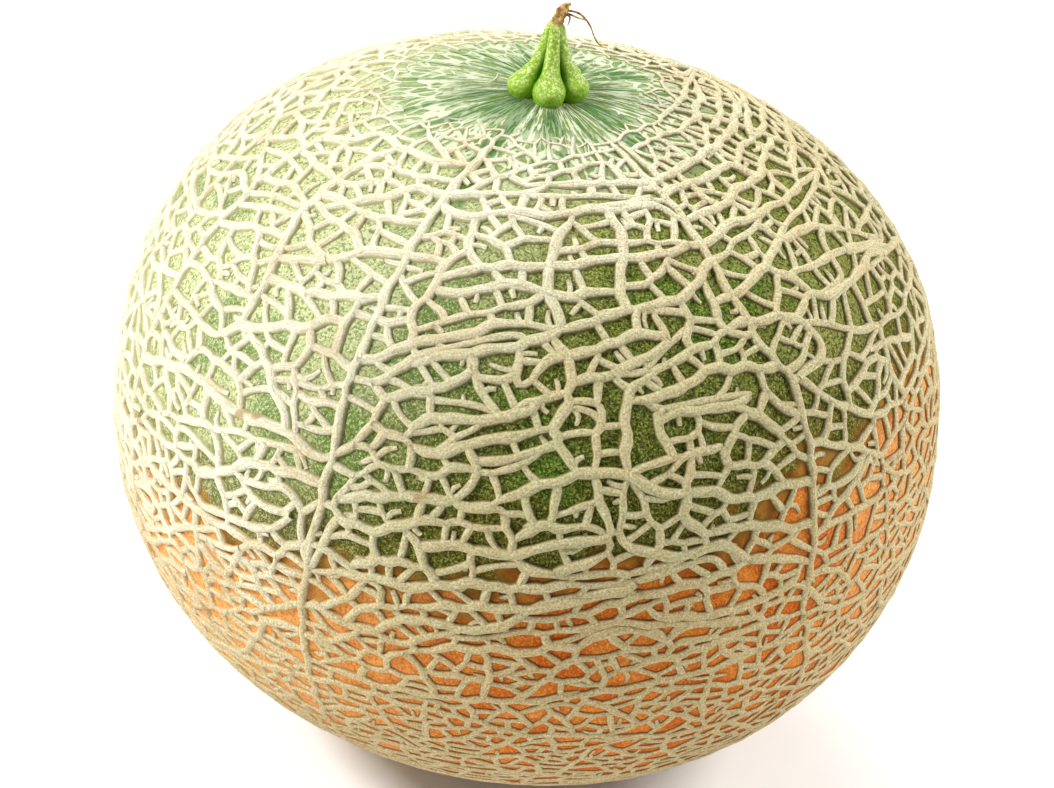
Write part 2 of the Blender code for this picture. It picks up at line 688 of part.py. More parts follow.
def tube_rings(route, radii, sides, base, crumple=0.0):
    """Rings square to a route; crumple dents them like shrivelled skin."""
    route = np.array(route, float)
    ahead = np.gradient(route, axis=0)
    ahead /= np.linalg.norm(ahead, axis=1, keepdims=True)
    if crumple:
        ahead[0] = (0, 0, 1)
    rings = []
    for n, (p, t, r) in enumerate(zip(route, ahead, radii)):
        e = unit(np.cross((0.0, 1.0, 0.0), t))
        f = np.cross(t, e)
        turn = 2 * np.pi * np.arange(sides) / sides
        out = r * (1 + crumple * np.sin(3 * turn + 1.9 * n))
        ring = p + out[:, None] * (np.cos(turn)[:, None] * e + np.sin(turn)[:, None] * f)
        rings.append(ring + np.array([0, 0, base]))
    return rings


def dried_tip(base, mat):
    """The shrivelled end and its threads, joined in one body."""
    route = [place[:3] for place in TIP_BODY]
    radii = [place[3] for place in TIP_BODY]
    tip = piece("dried_tip", *rings_closed(tube_rings(route, radii, 12, base, 0.16)), mat)
    threads = bpy.data.collections.new("threads")
    bpy.context.scene.collection.children.link(threads)
    for n, route in enumerate(TIP_THREADS):
        radii = [THREAD_RADIUS] * len(route)
        piece(f"thread_{n}", *rings_closed(tube_rings(route, radii, 8, base)), mat, threads)
    union = tip.modifiers.new("union", "BOOLEAN")
    union.operation = "UNION"
    union.operand_type = "COLLECTION"
    union.collection = threads
    union.solver = "EXACT"
    joined = bpy.data.meshes.new_from_object(tip.evaluated_get(bpy.context.evaluated_depsgraph_get()))
    tip.modifiers.clear()
    tip.data = joined
    for ob in list(threads.objects):
        bpy.data.objects.remove(ob)
    bpy.data.collections.remove(threads)
    return tip


for old in list(bpy.data.objects):
    bpy.data.objects.remove(old, do_unlink=True)

rind = material("netted_rind", (0.55, 0.55, 0.36), 0.6)
green = material("stem_green", (0.23, 0.42, 0.06), 0.55)
dry = material("dry_brown", (0.36, 0.23, 0.10), 0.85)

points, faces, crown_height = melon_surface(melon_net())
piece("melon_body", points, faces, rind)
piece("stem", *rings_closed(stem_rings(crown_height + GAP)), green)
dried_tip(crown_height + GAP, dry)
print("triangles", {ob.name: len(ob.data.polygons) for ob in bpy.data.objects}, "crown", round(crown_height, 2))
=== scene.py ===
# %% [markdown]
# A netted melon is a wide round fruit whose green skin cracks as it swells. Pale corky tissue heals each
# crack and stands up as a ridge, so the whole rind wears a raised net. This file builds the finished
# look in the order in which the fruit makes it: skin, cracks, cork ridges, stem and dried tip.
# Every length is in millimetres until a mesh is made. The front is -Y and the stem points up.

# %% Load the frame
import heapq
import json
import math
import random

import bpy
import numpy as np
from mathutils import Matrix, Vector

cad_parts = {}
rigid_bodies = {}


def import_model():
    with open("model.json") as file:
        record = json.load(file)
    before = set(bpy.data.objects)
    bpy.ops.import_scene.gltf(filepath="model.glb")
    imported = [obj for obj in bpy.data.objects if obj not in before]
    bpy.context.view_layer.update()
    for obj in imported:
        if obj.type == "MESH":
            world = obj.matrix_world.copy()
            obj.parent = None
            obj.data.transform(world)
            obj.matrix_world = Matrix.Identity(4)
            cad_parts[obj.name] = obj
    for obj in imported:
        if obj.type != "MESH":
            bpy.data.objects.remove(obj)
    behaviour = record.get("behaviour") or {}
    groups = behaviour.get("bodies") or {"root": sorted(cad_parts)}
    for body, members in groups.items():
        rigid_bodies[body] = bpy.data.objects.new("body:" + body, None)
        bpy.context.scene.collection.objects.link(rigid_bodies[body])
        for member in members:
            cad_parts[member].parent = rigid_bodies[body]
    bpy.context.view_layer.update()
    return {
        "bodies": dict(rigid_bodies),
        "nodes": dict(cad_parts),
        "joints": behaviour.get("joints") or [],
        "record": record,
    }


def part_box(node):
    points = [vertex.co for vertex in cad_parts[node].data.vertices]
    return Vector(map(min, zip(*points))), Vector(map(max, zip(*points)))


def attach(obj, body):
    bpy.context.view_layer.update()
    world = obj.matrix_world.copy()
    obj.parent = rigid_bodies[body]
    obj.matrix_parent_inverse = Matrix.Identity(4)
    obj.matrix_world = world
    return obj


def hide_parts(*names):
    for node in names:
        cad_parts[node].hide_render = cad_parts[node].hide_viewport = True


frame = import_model()
MM = 0.001
print("CAD nodes", sorted(frame["nodes"]))

# %% [markdown]
# The body is a turned shape with a squarer shoulder than foot. A superellipse gives that with one number
# for each half, where a stretched sphere could not. The axis leans a little to one side, as a real one does.

# %% The body
HALF_WIDTH = 80.0
RISE, TOP_ROUND = 68.2, 2.33
DROP, FOOT_ROUND = 67.4, 2.09
LEAN, POLE_LEAN = -0.014, -0.057


def unit(v):
    """A vector, or each row of an array, made one long."""
    return v / np.linalg.norm(v, axis=-1, keepdims=True)


def direction(lon, lat):
    """Unit direction from the centre: lon degrees round from the front, lat degrees up."""
    lon, lat = math.radians(lon), math.radians(lat)
    return np.array([math.sin(lon) * math.cos(lat), -math.cos(lon) * math.cos(lat), math.sin(lat)])


def body_radius(d):
    """Distance from the centre to the net: (side share)^n + (height share)^n = 1, solved for the length
    and then leaned to one side."""
    x, y, z = d[..., 0], d[..., 1], d[..., 2]
    half, n = np.where(z > 0, RISE, DROP), np.where(z > 0, TOP_ROUND, FOOT_ROUND)
    turned = ((np.hypot(x, y) / HALF_WIDTH) ** n + (np.abs(z) / half) ** n) ** (-1 / n)
    return turned * (1 + x * z * (LEAN + POLE_LEAN * z * z))


def radius_at(x, y, z):
    """The same for one direction in plain numbers. An array's power may differ in its last digit from run to
    run, and a net that grows by close choices would then grow another way."""
    half, n = (RISE, TOP_ROUND) if z > 0 else (DROP, FOOT_ROUND)
    turned = ((math.hypot(x, y) / HALF_WIDTH) ** n + (abs(z) / half) ** n) ** (-1 / n)
    return turned * (1 + x * z * (LEAN + POLE_LEAN * z * z))


print("width", round(2 * radius_at(*direction(90.0, 0.0)), 1), "mm")

# %% Where the photo was taken from
ELEVATION, ROLL = 30.0, 3.8          # degrees that the camera looks down, and that it is turned
DISTANCE = 700.0                     # from the fruit's centre
FOCAL = 3607.0                       # in pixels of the photo
CENTRE_PIXEL = (527.8, 409.0)        # where the fruit's centre shows in the photo
IMAGE_SIZE = (1054, 788)
AHEAD = np.array([0, math.cos(math.radians(ELEVATION)), -math.sin(math.radians(ELEVATION))])
OVERHEAD = np.array([0, math.sin(math.radians(ELEVATION)), math.cos(math.radians(ELEVATION))])
EYE = -AHEAD * DISTANCE

# %% [markdown]
# The net is a crack pattern. Long cracks open first and later ones end on them, nearly at right angles.
# A noise or a cell texture has no such order and looks like a honeycomb, so the cracks are grown: cells
# are kept as loops of corners, and the largest one is split again and again.

# %% Settings of the net
SEED = 7
CROWN_RING, FOOT_RING = 7.2, 11.0    # degrees from the poles where the seams end
SEAMS = ((-26, 0), (42, 0), (95, 4), (146, -3), (197, 5), (248, -4), (295, -6))    # longitude, lean above
SEAM_STEPS, SEAM_SWAY, SEAM_WAVES, SEAM_LEAN_TOP = 22, 1.3, 9, 60
FIRST_CUTS = (42, 5, -35)            # heights of the first ridges across, in degrees
ROW_HEIGHTS = range(56, -66, -9)     # and of the rows that are drawn at random
ROW_LENGTH, ROW_STEP, ROW_GAP, ROW_START = (35, 80), 8.0, (2, 10), (0, 20)
ROW_WAVE, ROW_WAVES, ROW_DRIFT = 2.2, 7, 0.05
FRONT_SPAN, FRONT_HEIGHTS = 48, (-5, 50)    # the part of the front that those rows leave to the traced ones
SWAY = 0.5                           # millimetres that places put into a row stand off to the sides
FAR = 60                             # lengths of its last step by which a row is carried on at its end
SAME_SIDE, NEARER = 0.12, 0.3        # least cosine for one plane to hold two directions, and a step instead
PAST = 0.5                           # millimetres past a ridge where the next cell is looked for
UNEVEN = 0.33                        # spread of the sizes at which cells are split
TRIES, TURN, SHIFT = 8, 0.22, 0.18   # lines tried across a cell, spread of their turns, most shift
NEAR_COST, SLANT_COST, SHARE_COST, FAIR_SHARE = 0.9, 0.8, 6.0, 0.33
BOW, WAVE = 0.07, 0.035              # how far a ridge bends one way and both ways, as shares of its length
SHOULDER, LOWER, UNDERSIDE = (18, 30), (72, 20), (140, 25)    # degrees from the stem: start and span
CROWN_AREA, UNDER_LESS = 0.5, 0.35   # share of a cell's area near the stem, and what it loses underneath
NEAR_REACH = 1.6                     # a junction costs out to about this many snaps
LARGE_CELL = 3                       # a ridge across a cell of this many wanted areas is of an older rank
NEARLY_BACK = -0.3                   # cosine between two ridges below which they run on into each other
RELAX_ROUNDS, RELAX_PULL, BUTT_PULL = 3, 0.35, 0.5
# Stages: the wanted area of a cell and what it loses low down, its width over its height near the stem,
# round the belly and low down, how near a corner a ridge ends in it, the length of a straight piece, the
# least cell that is split, and how often a cell that resists is tried again.
MAIN = {"area": 270.0, "less_low": 0.0, "steep": 0.65, "wide": 1.7, "wide_low": 1.7,
        "snap": 2.2, "piece": 8.0, "least": 14.0, "again": 0}
SEEN = {"snap": 0.7, "piece": 3.5, "least": 2.0}
FINE = {"area": 38.0, "less_low": 0.42, "steep": 0.9, "wide": 1.45, "wide_low": 1.7,
        "snap": 0.8, "piece": 2.6, "least": 3.0, "again": 30}
BEND = 1.1                           # degrees by which a row in whole degrees may miss a traced place
END_GAP, MOST_GAP = 1.2, 0.45        # millimetres, and most of a step, that a traced end is drawn back
SEARCH_FROM, HALVINGS = 1.5, 40      # half widths before the centre where a search starts, and its steps
DIGITS = 9                           # decimals kept of a traced direction
SEAM, FIRST, HIDDEN = 5, 6, 7        # ranks beside 0 to 4, oldest to youngest
TAIL_SHORT, TAIL_LONG = 2.5, 13.0    # a row carried on by more than this gets a thin ridge there, or none
ZONE_SLANT, ZONE_FOOT = 0.4, -0.1    # the part of the fruit where the photo shows the ridges

# %% Long ridges of the front, each a row of photo pixels
LONG_RIDGES = (
    ((440, 203), (460, 215), (468, 217), (488, 213), (503, 208), (518, 211), (540, 216), (560, 217),
     (573, 210), (590, 205), (607, 209), (620, 208), (640, 203), (663, 204)),
    ((447, 274), (466, 271), (498, 264), (523, 265), (543, 267), (574, 263), (621, 257), (670, 253),
     (695, 243), (713, 242), (722, 233), (727, 227), (740, 220), (757, 219), (763, 210), (773, 203)),
    ((432, 290), (458, 295), (480, 285), (503, 283), (523, 287), (542, 290), (555, 295), (577, 296),
     (593, 293), (613, 290)),
    ((410, 362), (427, 356), (440, 353), (472, 355), (482, 348), (513, 348), (527, 340), (552, 333),
     (570, 328), (590, 323), (610, 315), (622, 310), (643, 308), (677, 300), (692, 293), (703, 280),
     (703, 272), (715, 262), (725, 253)),
    ((535, 373), (543, 365), (560, 358), (585, 350), (610, 345), (638, 332), (660, 336), (685, 338)),
    ((573, 380), (598, 378), (620, 372), (652, 358), (665, 348)),
    ((628, 400), (657, 400), (683, 390), (693, 383), (715, 367), (733, 373), (747, 365), (755, 363),
     (763, 370), (780, 367)),
    ((662, 416), (690, 410), (720, 407), (743, 405), (757, 415), (773, 427), (793, 445)),
    ((370, 383), (383, 398), (400, 393), (443, 390), (460, 382), (472, 370), (472, 355)),
    ((403, 437), (418, 425), (430, 417), (448, 415), (465, 422), (487, 422), (510, 417), (525, 413),
     (540, 400), (565, 397)),
    ((410, 445), (423, 455), (438, 455), (453, 445), (483, 442), (503, 438), (527, 434)),
    ((568, 222), (560, 237), (552, 250), (548, 267), (547, 293), (557, 307), (565, 327)),
    ((610, 213), (620, 230), (627, 255), (620, 262), (620, 287), (627, 307)),
    ((558, 342), (565, 358), (573, 380), (565, 400), (560, 422), (553, 433), (565, 455)),
    ((618, 380), (630, 392), (625, 403), (623, 420), (633, 433), (628, 447), (627, 466)),
    ((277, 257), (310, 258), (340, 257), (357, 252), (370, 250), (400, 252), (427, 258)),
    ((390, 148), (363, 160), (340, 175), (322, 188), (300, 210), (277, 250), (270, 267), (257, 293),
     (243, 317)),
    ((270, 278), (287, 282), (302, 292), (318, 293), (343, 297), (360, 298), (377, 295)),
    ((213, 338), (227, 328), (243, 323), (257, 330), (277, 327), (293, 323), (307, 328), (320, 320),
     (343, 320)),
    ((143, 358), (163, 363), (185, 370), (197, 377), (210, 390), (220, 402), (233, 413), (257, 418),
     (270, 425), (285, 435), (302, 447), (318, 460)),
    ((252, 338), (260, 350), (268, 368), (263, 380), (277, 397), (287, 415), (283, 433)),
    ((357, 360), (380, 357), (403, 347), (423, 338), (443, 338), (460, 335), (482, 328), (500, 323),
     (518, 324)),
    ((355, 380), (370, 383), (385, 377), (403, 363), (413, 360)),
    ((720, 300), (740, 288), (760, 278), (770, 262), (772, 252), (782, 240), (798, 230), (817, 225),
     (837, 227)),
    ((773, 267), (790, 275), (807, 288), (827, 297), (850, 282), (862, 273), (870, 253), (883, 250)),
    ((733, 317), (747, 320), (760, 327), (772, 318), (782, 315), (797, 317), (813, 325), (823, 338),
     (830, 352), (815, 365), (797, 377)),
    ((188, 462), (205, 473), (223, 473), (240, 465), (257, 463), (272, 470), (288, 475), (318, 482)),
    ((302, 513), (320, 505), (338, 502), (355, 495), (380, 497), (413, 498), (460, 503), (480, 510),
     (503, 508)),
    ((335, 513), (352, 528), (380, 533), (400, 525), (420, 522), (442, 524)),
    ((352, 562), (397, 563), (413, 567)),
    ((350, 577), (380, 580), (400, 590), (420, 595), (437, 585), (477, 585), (510, 590), (527, 590),
     (552, 587), (577, 587)),
    ((407, 532), (415, 545), (420, 557), (430, 577), (437, 587)),
    ((307, 600), (323, 615), (340, 625), (360, 630), (377, 635), (390, 622), (413, 622), (432, 625),
     (457, 630), (487, 635), (503, 628), (520, 617), (527, 613)),
    ((503, 502), (523, 493), (543, 485), (570, 478), (593, 478), (607, 473), (627, 468), (647, 492),
     (657, 495), (682, 495), (720, 490), (740, 503), (762, 497), (780, 485), (803, 482), (817, 480)),
    ((517, 540), (530, 533), (548, 525), (573, 530), (597, 525), (610, 523), (627, 525), (657, 528)),
    ((420, 548), (460, 548), (482, 552), (503, 558), (530, 552), (552, 547), (577, 543), (605, 540)),
    ((517, 562), (533, 573), (552, 578), (570, 572), (593, 563), (603, 557)),
    ((430, 608), (460, 607), (503, 610), (527, 613), (547, 610), (560, 603), (585, 600)),
    ((437, 652), (460, 650), (480, 650), (503, 650), (517, 657), (527, 657), (547, 650), (563, 645),
     (580, 648), (593, 638), (607, 633)),
    ((612, 525), (607, 543), (602, 562), (593, 577), (587, 593), (582, 603)),
    ((692, 462), (690, 475), (683, 493), (685, 513), (693, 527), (712, 545)),
    ((610, 550), (633, 550), (657, 553), (677, 563), (713, 547), (727, 547), (737, 550), (747, 562),
     (762, 562), (777, 557), (800, 560)),
    ((593, 597), (615, 593), (632, 588), (650, 578), (677, 568)),
    ((603, 607), (627, 602), (643, 598), (670, 593), (683, 588), (702, 585), (727, 573), (747, 565)),
    ((603, 637), (623, 628), (650, 627), (678, 618), (713, 620), (737, 612), (747, 605), (770, 600),
     (797, 583), (803, 573)),
    ((720, 533), (740, 528), (760, 525), (777, 527), (787, 533), (803, 527), (817, 520)),
    ((637, 670), (657, 663), (677, 660), (703, 652), (720, 642), (758, 628), (780, 622)),
    ((600, 142), (617, 138), (637, 128), (660, 117), (680, 100), (688, 85), (692, 75)),
    ((627, 147), (653, 137), (680, 128), (697, 115), (702, 93), (697, 82)),
    ((560, 183), (600, 182), (640, 182), (667, 175), (687, 167), (703, 152), (720, 142), (733, 128),
     (740, 108), (737, 98)),
    ((583, 207), (620, 205), (647, 198), (667, 193), (680, 185), (700, 180), (720, 167), (737, 163),
     (748, 175), (767, 172)),
    ((683, 222), (710, 208), (727, 203), (737, 190), (753, 178), (767, 172), (790, 177), (797, 160),
     (792, 140), (790, 123)),
    ((322, 135), (340, 140), (360, 140), (380, 127), (397, 145), (413, 150), (440, 160), (463, 163)),
    ((323, 193), (347, 203), (377, 197), (405, 188), (420, 187), (440, 192), (463, 193), (493, 192)),
)

# %% Shorter ridges of the front that join them
SHORT_RIDGES = (
    ((473, 232), (497, 243), (503, 245), (518, 240), (533, 237), (552, 237)),
    ((560, 248), (580, 247), (610, 240), (647, 241)),
    ((622, 287), (638, 286), (660, 275), (665, 265)),
    ((542, 295), (523, 303), (505, 307)),
    ((516, 326), (527, 340)),
    ((640, 382), (660, 370), (670, 360), (693, 348), (710, 348), (727, 332)),
    ((438, 450), (452, 443)),
    ((517, 350), (517, 380), (517, 412)),
    ((663, 203), (677, 215), (690, 225), (700, 240)),
    ((683, 223), (700, 213)),
    ((598, 383), (600, 400), (607, 417), (598, 433), (597, 450)),
    ((652, 402), (657, 417), (662, 440), (670, 450), (677, 458), (693, 458), (715, 452), (727, 443)),
    ((678, 303), (692, 313), (687, 338), (693, 348)),
    ((692, 313), (715, 305), (720, 300)),
    ((705, 280), (710, 293), (717, 300), (723, 320), (727, 332)),
    ((637, 310), (638, 330)),
    ((473, 217), (470, 232), (468, 248), (477, 265)),
    ((463, 252), (440, 270), (427, 290), (410, 317), (403, 335), (410, 355)),
    ((217, 223), (247, 223), (265, 230), (280, 233)),
    ((218, 283), (237, 293), (257, 300), (277, 303), (290, 298), (302, 292)),
    ((173, 293), (190, 310), (203, 327), (213, 338)),
    ((203, 347), (217, 363), (233, 377), (238, 400), (237, 415)),
    ((308, 330), (310, 345), (303, 360), (293, 368), (292, 397)),
    ((310, 345), (332, 353), (347, 367)),
    ((303, 398), (315, 403), (340, 403)),
    ((383, 398), (377, 413), (363, 433)),
    ((360, 298), (347, 317), (338, 333), (332, 350)),
    ((357, 313), (370, 317), (397, 322), (410, 317)),
    ((373, 425), (383, 432), (403, 437)),
    ((173, 418), (193, 422), (213, 428)),
    ((682, 312), (700, 313)),
    ((760, 222), (778, 238)),
    ((833, 300), (840, 313)),
    ((822, 227), (825, 243), (840, 267), (850, 280)),
    ((802, 270), (820, 262), (835, 255), (850, 247), (862, 245)),
    ((725, 333), (740, 333), (753, 334)),
    ((762, 372), (773, 397), (785, 415), (807, 415)),
    ((743, 403), (760, 393)),
    ((812, 292), (805, 310), (800, 317)),
    ((777, 275), (782, 313)),
    ((840, 327), (862, 332), (882, 323)),
    ((817, 388), (837, 400), (857, 412), (873, 417), (893, 408)),
    ((322, 460), (335, 453), (358, 445), (375, 448), (383, 432)),
    ((250, 485), (263, 492), (280, 487), (290, 492), (297, 500), (300, 513)),
    ((250, 495), (267, 512), (280, 518), (300, 515)),
    ((203, 508), (237, 523), (247, 528), (263, 528), (277, 543)),
    ((273, 562), (280, 550), (292, 545), (313, 547), (327, 550), (340, 563)),
    ((337, 517), (327, 530), (318, 550), (310, 567), (302, 577)),
    ((300, 515), (297, 537), (302, 557), (307, 567)),
    ((360, 582), (353, 597), (337, 605), (320, 607)),
    ((340, 625), (363, 610), (377, 607), (383, 590)),
    ((377, 635), (390, 647), (410, 645), (430, 640)),
    ((273, 567), (287, 573), (300, 575)),
    ((277, 610), (305, 606)),
    ((410, 472), (433, 475), (457, 468), (475, 470)),
    ((465, 442), (470, 453), (477, 470), (477, 480), (463, 495), (455, 500)),
    ((477, 463), (500, 460), (520, 462), (537, 452), (558, 443)),
    ((480, 473), (497, 475), (518, 464)),
    ((500, 508), (507, 523), (513, 538), (507, 556)),
    ((595, 483), (600, 502), (610, 520)),
    ((560, 485), (555, 507), (548, 523)),
    ((522, 497), (535, 525)),
    ((633, 470), (657, 467), (670, 460), (677, 458)),
    ((657, 528), (662, 538), (657, 553), (643, 573)),
    ((593, 577), (627, 575), (660, 572), (677, 565)),
    ((560, 623), (577, 617), (597, 613), (605, 607)),
    ((567, 633), (590, 630), (610, 627), (630, 617), (647, 603)),
    ((607, 637), (620, 653), (643, 652), (670, 645), (683, 627)),
    ((517, 658), (537, 672), (560, 675), (573, 663), (593, 660)),
    ((673, 653), (683, 643), (707, 640), (720, 642)),
    ((727, 443), (723, 458), (737, 470), (762, 463), (780, 477), (785, 485)),
    ((702, 585), (710, 597), (713, 617)),
    ((677, 585), (675, 605), (678, 618)),
    ((713, 593), (733, 588), (757, 585), (762, 593), (770, 600)),
    ((772, 560), (763, 583)),
    ((770, 602), (765, 627), (762, 647)),
    ((713, 547), (720, 563), (727, 573)),
    ((757, 528), (753, 547), (745, 560)),
    ((720, 642), (730, 663), (760, 652), (780, 647), (800, 642)),
    ((300, 147), (313, 160), (327, 173), (335, 178)),
    ((260, 177), (280, 180), (297, 187), (303, 200)),
    ((363, 163), (388, 167), (413, 173), (430, 177), (450, 180)),
    ((340, 180), (360, 182), (380, 180), (390, 168)),
    ((320, 213), (347, 225), (357, 237), (357, 252)),
    ((320, 213), (323, 205), (340, 203)),
    ((360, 208), (380, 217), (413, 222), (427, 220)),
    ((297, 205), (320, 213)),
    ((440, 202), (460, 213)),
    ((230, 203), (260, 203), (287, 210)),
    ((710, 138), (708, 127), (718, 122), (723, 102), (722, 93)),
    ((767, 170), (765, 153), (775, 135)),
    ((740, 163), (742, 147), (757, 133), (767, 123), (765, 108)),
    ((683, 220), (663, 198)),
    ((618, 140), (640, 155), (660, 175)),
    ((600, 153), (613, 167), (627, 180)),
    ((677, 172), (693, 183), (710, 197), (723, 205)),
    ((727, 205), (740, 220)),
    ((760, 220), (763, 205), (783, 202), (797, 190), (810, 177), (820, 167)),
    ((783, 202), (807, 218), (817, 225)),
    ((560, 157), (593, 150), (630, 145)),
    ((560, 170), (600, 160)),
)

# %% The two seams of the front
SEAMS_SEEN = {
    0: ((475, 160), (455, 183), (440, 203), (423, 224), (408, 245), (398, 266), (388, 288), (378, 310),
        (366, 333), (354, 358), (347, 382), (341, 405), (337, 427), (333, 448), (324, 464), (322, 497),
        (312, 530), (300, 600)),
    1: ((735, 300), (752, 332), (777, 355), (787, 370), (797, 385), (803, 400), (808, 420), (812, 440),
        (816, 460), (816, 480), (814, 500), (815, 520), (816, 540), (814, 570), (805, 600), (806, 630),
        (812, 665)),
}
print(len(LONG_RIDGES), "long and", len(SHORT_RIDGES), "shorter ridges followed by eye")

# %% [markdown]
# A pixel of the photo becomes a place on the fruit by following its line of sight. The solid was made with
# the long ridges in whole degrees, with only the corners that their bends need. They are rounded the same
# way here, which gives its main net again. The finer net then follows the pixels themselves.

# %% From photo pixels to the fruit


def on_fruit(pixels):
    """Directions to where lines of sight meet the net: each line is halved down to its first place in it."""
    x, y = (np.array(pixels, float) - CENTRE_PIXEL).T
    c, s = math.cos(math.radians(ROLL)), math.sin(math.radians(ROLL))
    across, down = (x * c + y * s) / FOCAL, (y * c - x * s) / FOCAL
    sight = unit(AHEAD + across[:, None] * np.array([1.0, 0, 0]) - down[:, None] * OVERHEAD)
    far = -(sight @ EYE)
    near = far - SEARCH_FROM * HALF_WIDTH
    for _ in range(HALVINGS):
        middle = (near + far) / 2
        spot = EYE + sight * middle[:, None]
        within = np.linalg.norm(spot, axis=1) < body_radius(unit(spot))
        near, far = np.where(within, near, middle), np.where(within, middle, far)
    return np.round(unit(EYE + sight * far[:, None]), DIGITS)


def lon_lat(d):
    """Degrees round from the front and degrees up of directions."""
    return np.degrees(np.arctan2(d[..., 0], -d[..., 1])), np.degrees(np.arcsin(d[..., 2]))


def off_line(q, a, b):
    """Degrees from a place to the straight line between two others, with turns shortened by the latitude."""
    squash = np.array([math.cos(math.radians(q[1])), 1.0])
    a, b = (np.subtract(a, q) * squash, np.subtract(b, q) * squash)
    along = b - a
    share = float(np.clip(-(a @ along) / max(along @ along, 1e-9), 0, 1))
    return float(np.hypot(*(a + share * along)))


def bends(row):
    """The row's ends and the places between that the line would miss by more than BEND degrees."""
    off = [off_line(q, row[0], row[-1]) for q in row[1:-1]]
    if not off or max(off) < BEND:
        return [row[0], row[-1]]
    k = off.index(max(off)) + 1
    return bends(row[:k + 1])[:-1] + bends(row[k:])


def coarse(pixels):
    """A traced ridge in whole degrees, as the solid has it."""
    spots = [(round(float(a)), round(float(b))) for a, b in zip(*lon_lat(on_fruit(pixels)))]
    spots = [q for q, before in zip(spots, [None] + spots) if q != before]
    return [direction(*q) for q in bends(spots)]


def traced(pixels):
    """A traced ridge as directions, each end drawn back a little so that it meets its neighbour squarely."""
    d = on_fruit(pixels)
    steps = [np.linalg.norm(d[k] - d[m]) for k, m in ((0, 1), (-1, -2))]
    gap = [min(END_GAP / HALF_WIDTH / step, MOST_GAP) for step in steps]
    d[0], d[-1] = unit(d[0] + (d[1] - d[0]) * gap[0]), unit(d[-1] + (d[-2] - d[-1]) * gap[1])
    return list(d)


# %% Small helpers for a cell laid flat


def area_and_middle(xy):
    """Area and middle of a polygon from the cross products of its corners."""
    x, y = xy.T
    x2, y2 = np.roll(x, -1), np.roll(y, -1)
    cross = x * y2 - x2 * y
    area = cross.sum() / 2
    return area, np.array([((x + x2) * cross).sum(), ((y + y2) * cross).sum()]) / (6 * area)


def inside(xy, q):
    """True if a level line from q crosses the polygon's sides an odd number of times."""
    x, y = (xy - q).T
    x2, y2 = np.roll(x, -1), np.roll(y, -1)
    cut = (y > 0) != (y2 > 0)
    return int((x[cut] > y[cut] * (x2[cut] - x[cut]) / (y2[cut] - y[cut])).sum()) % 2 == 1


def meetings(xy, o, v):
    """Where the line o + t v meets the sides of a polygon: (t, side number, share along the side)."""
    e = np.roll(xy, -1, 0) - xy
    w = xy - o
    with np.errstate(divide="ignore", invalid="ignore"):
        det = v[1] * e[:, 0] - v[0] * e[:, 1]
        t = (w[:, 1] * e[:, 0] - w[:, 0] * e[:, 1]) / det
        s = (v[0] * w[:, 1] - v[1] * w[:, 0]) / det
    ok = np.isfinite(t) & (s >= 0) & (s < 1)
    return [(float(t[i]), int(i), float(s[i])) for i in np.nonzero(ok)[0]]


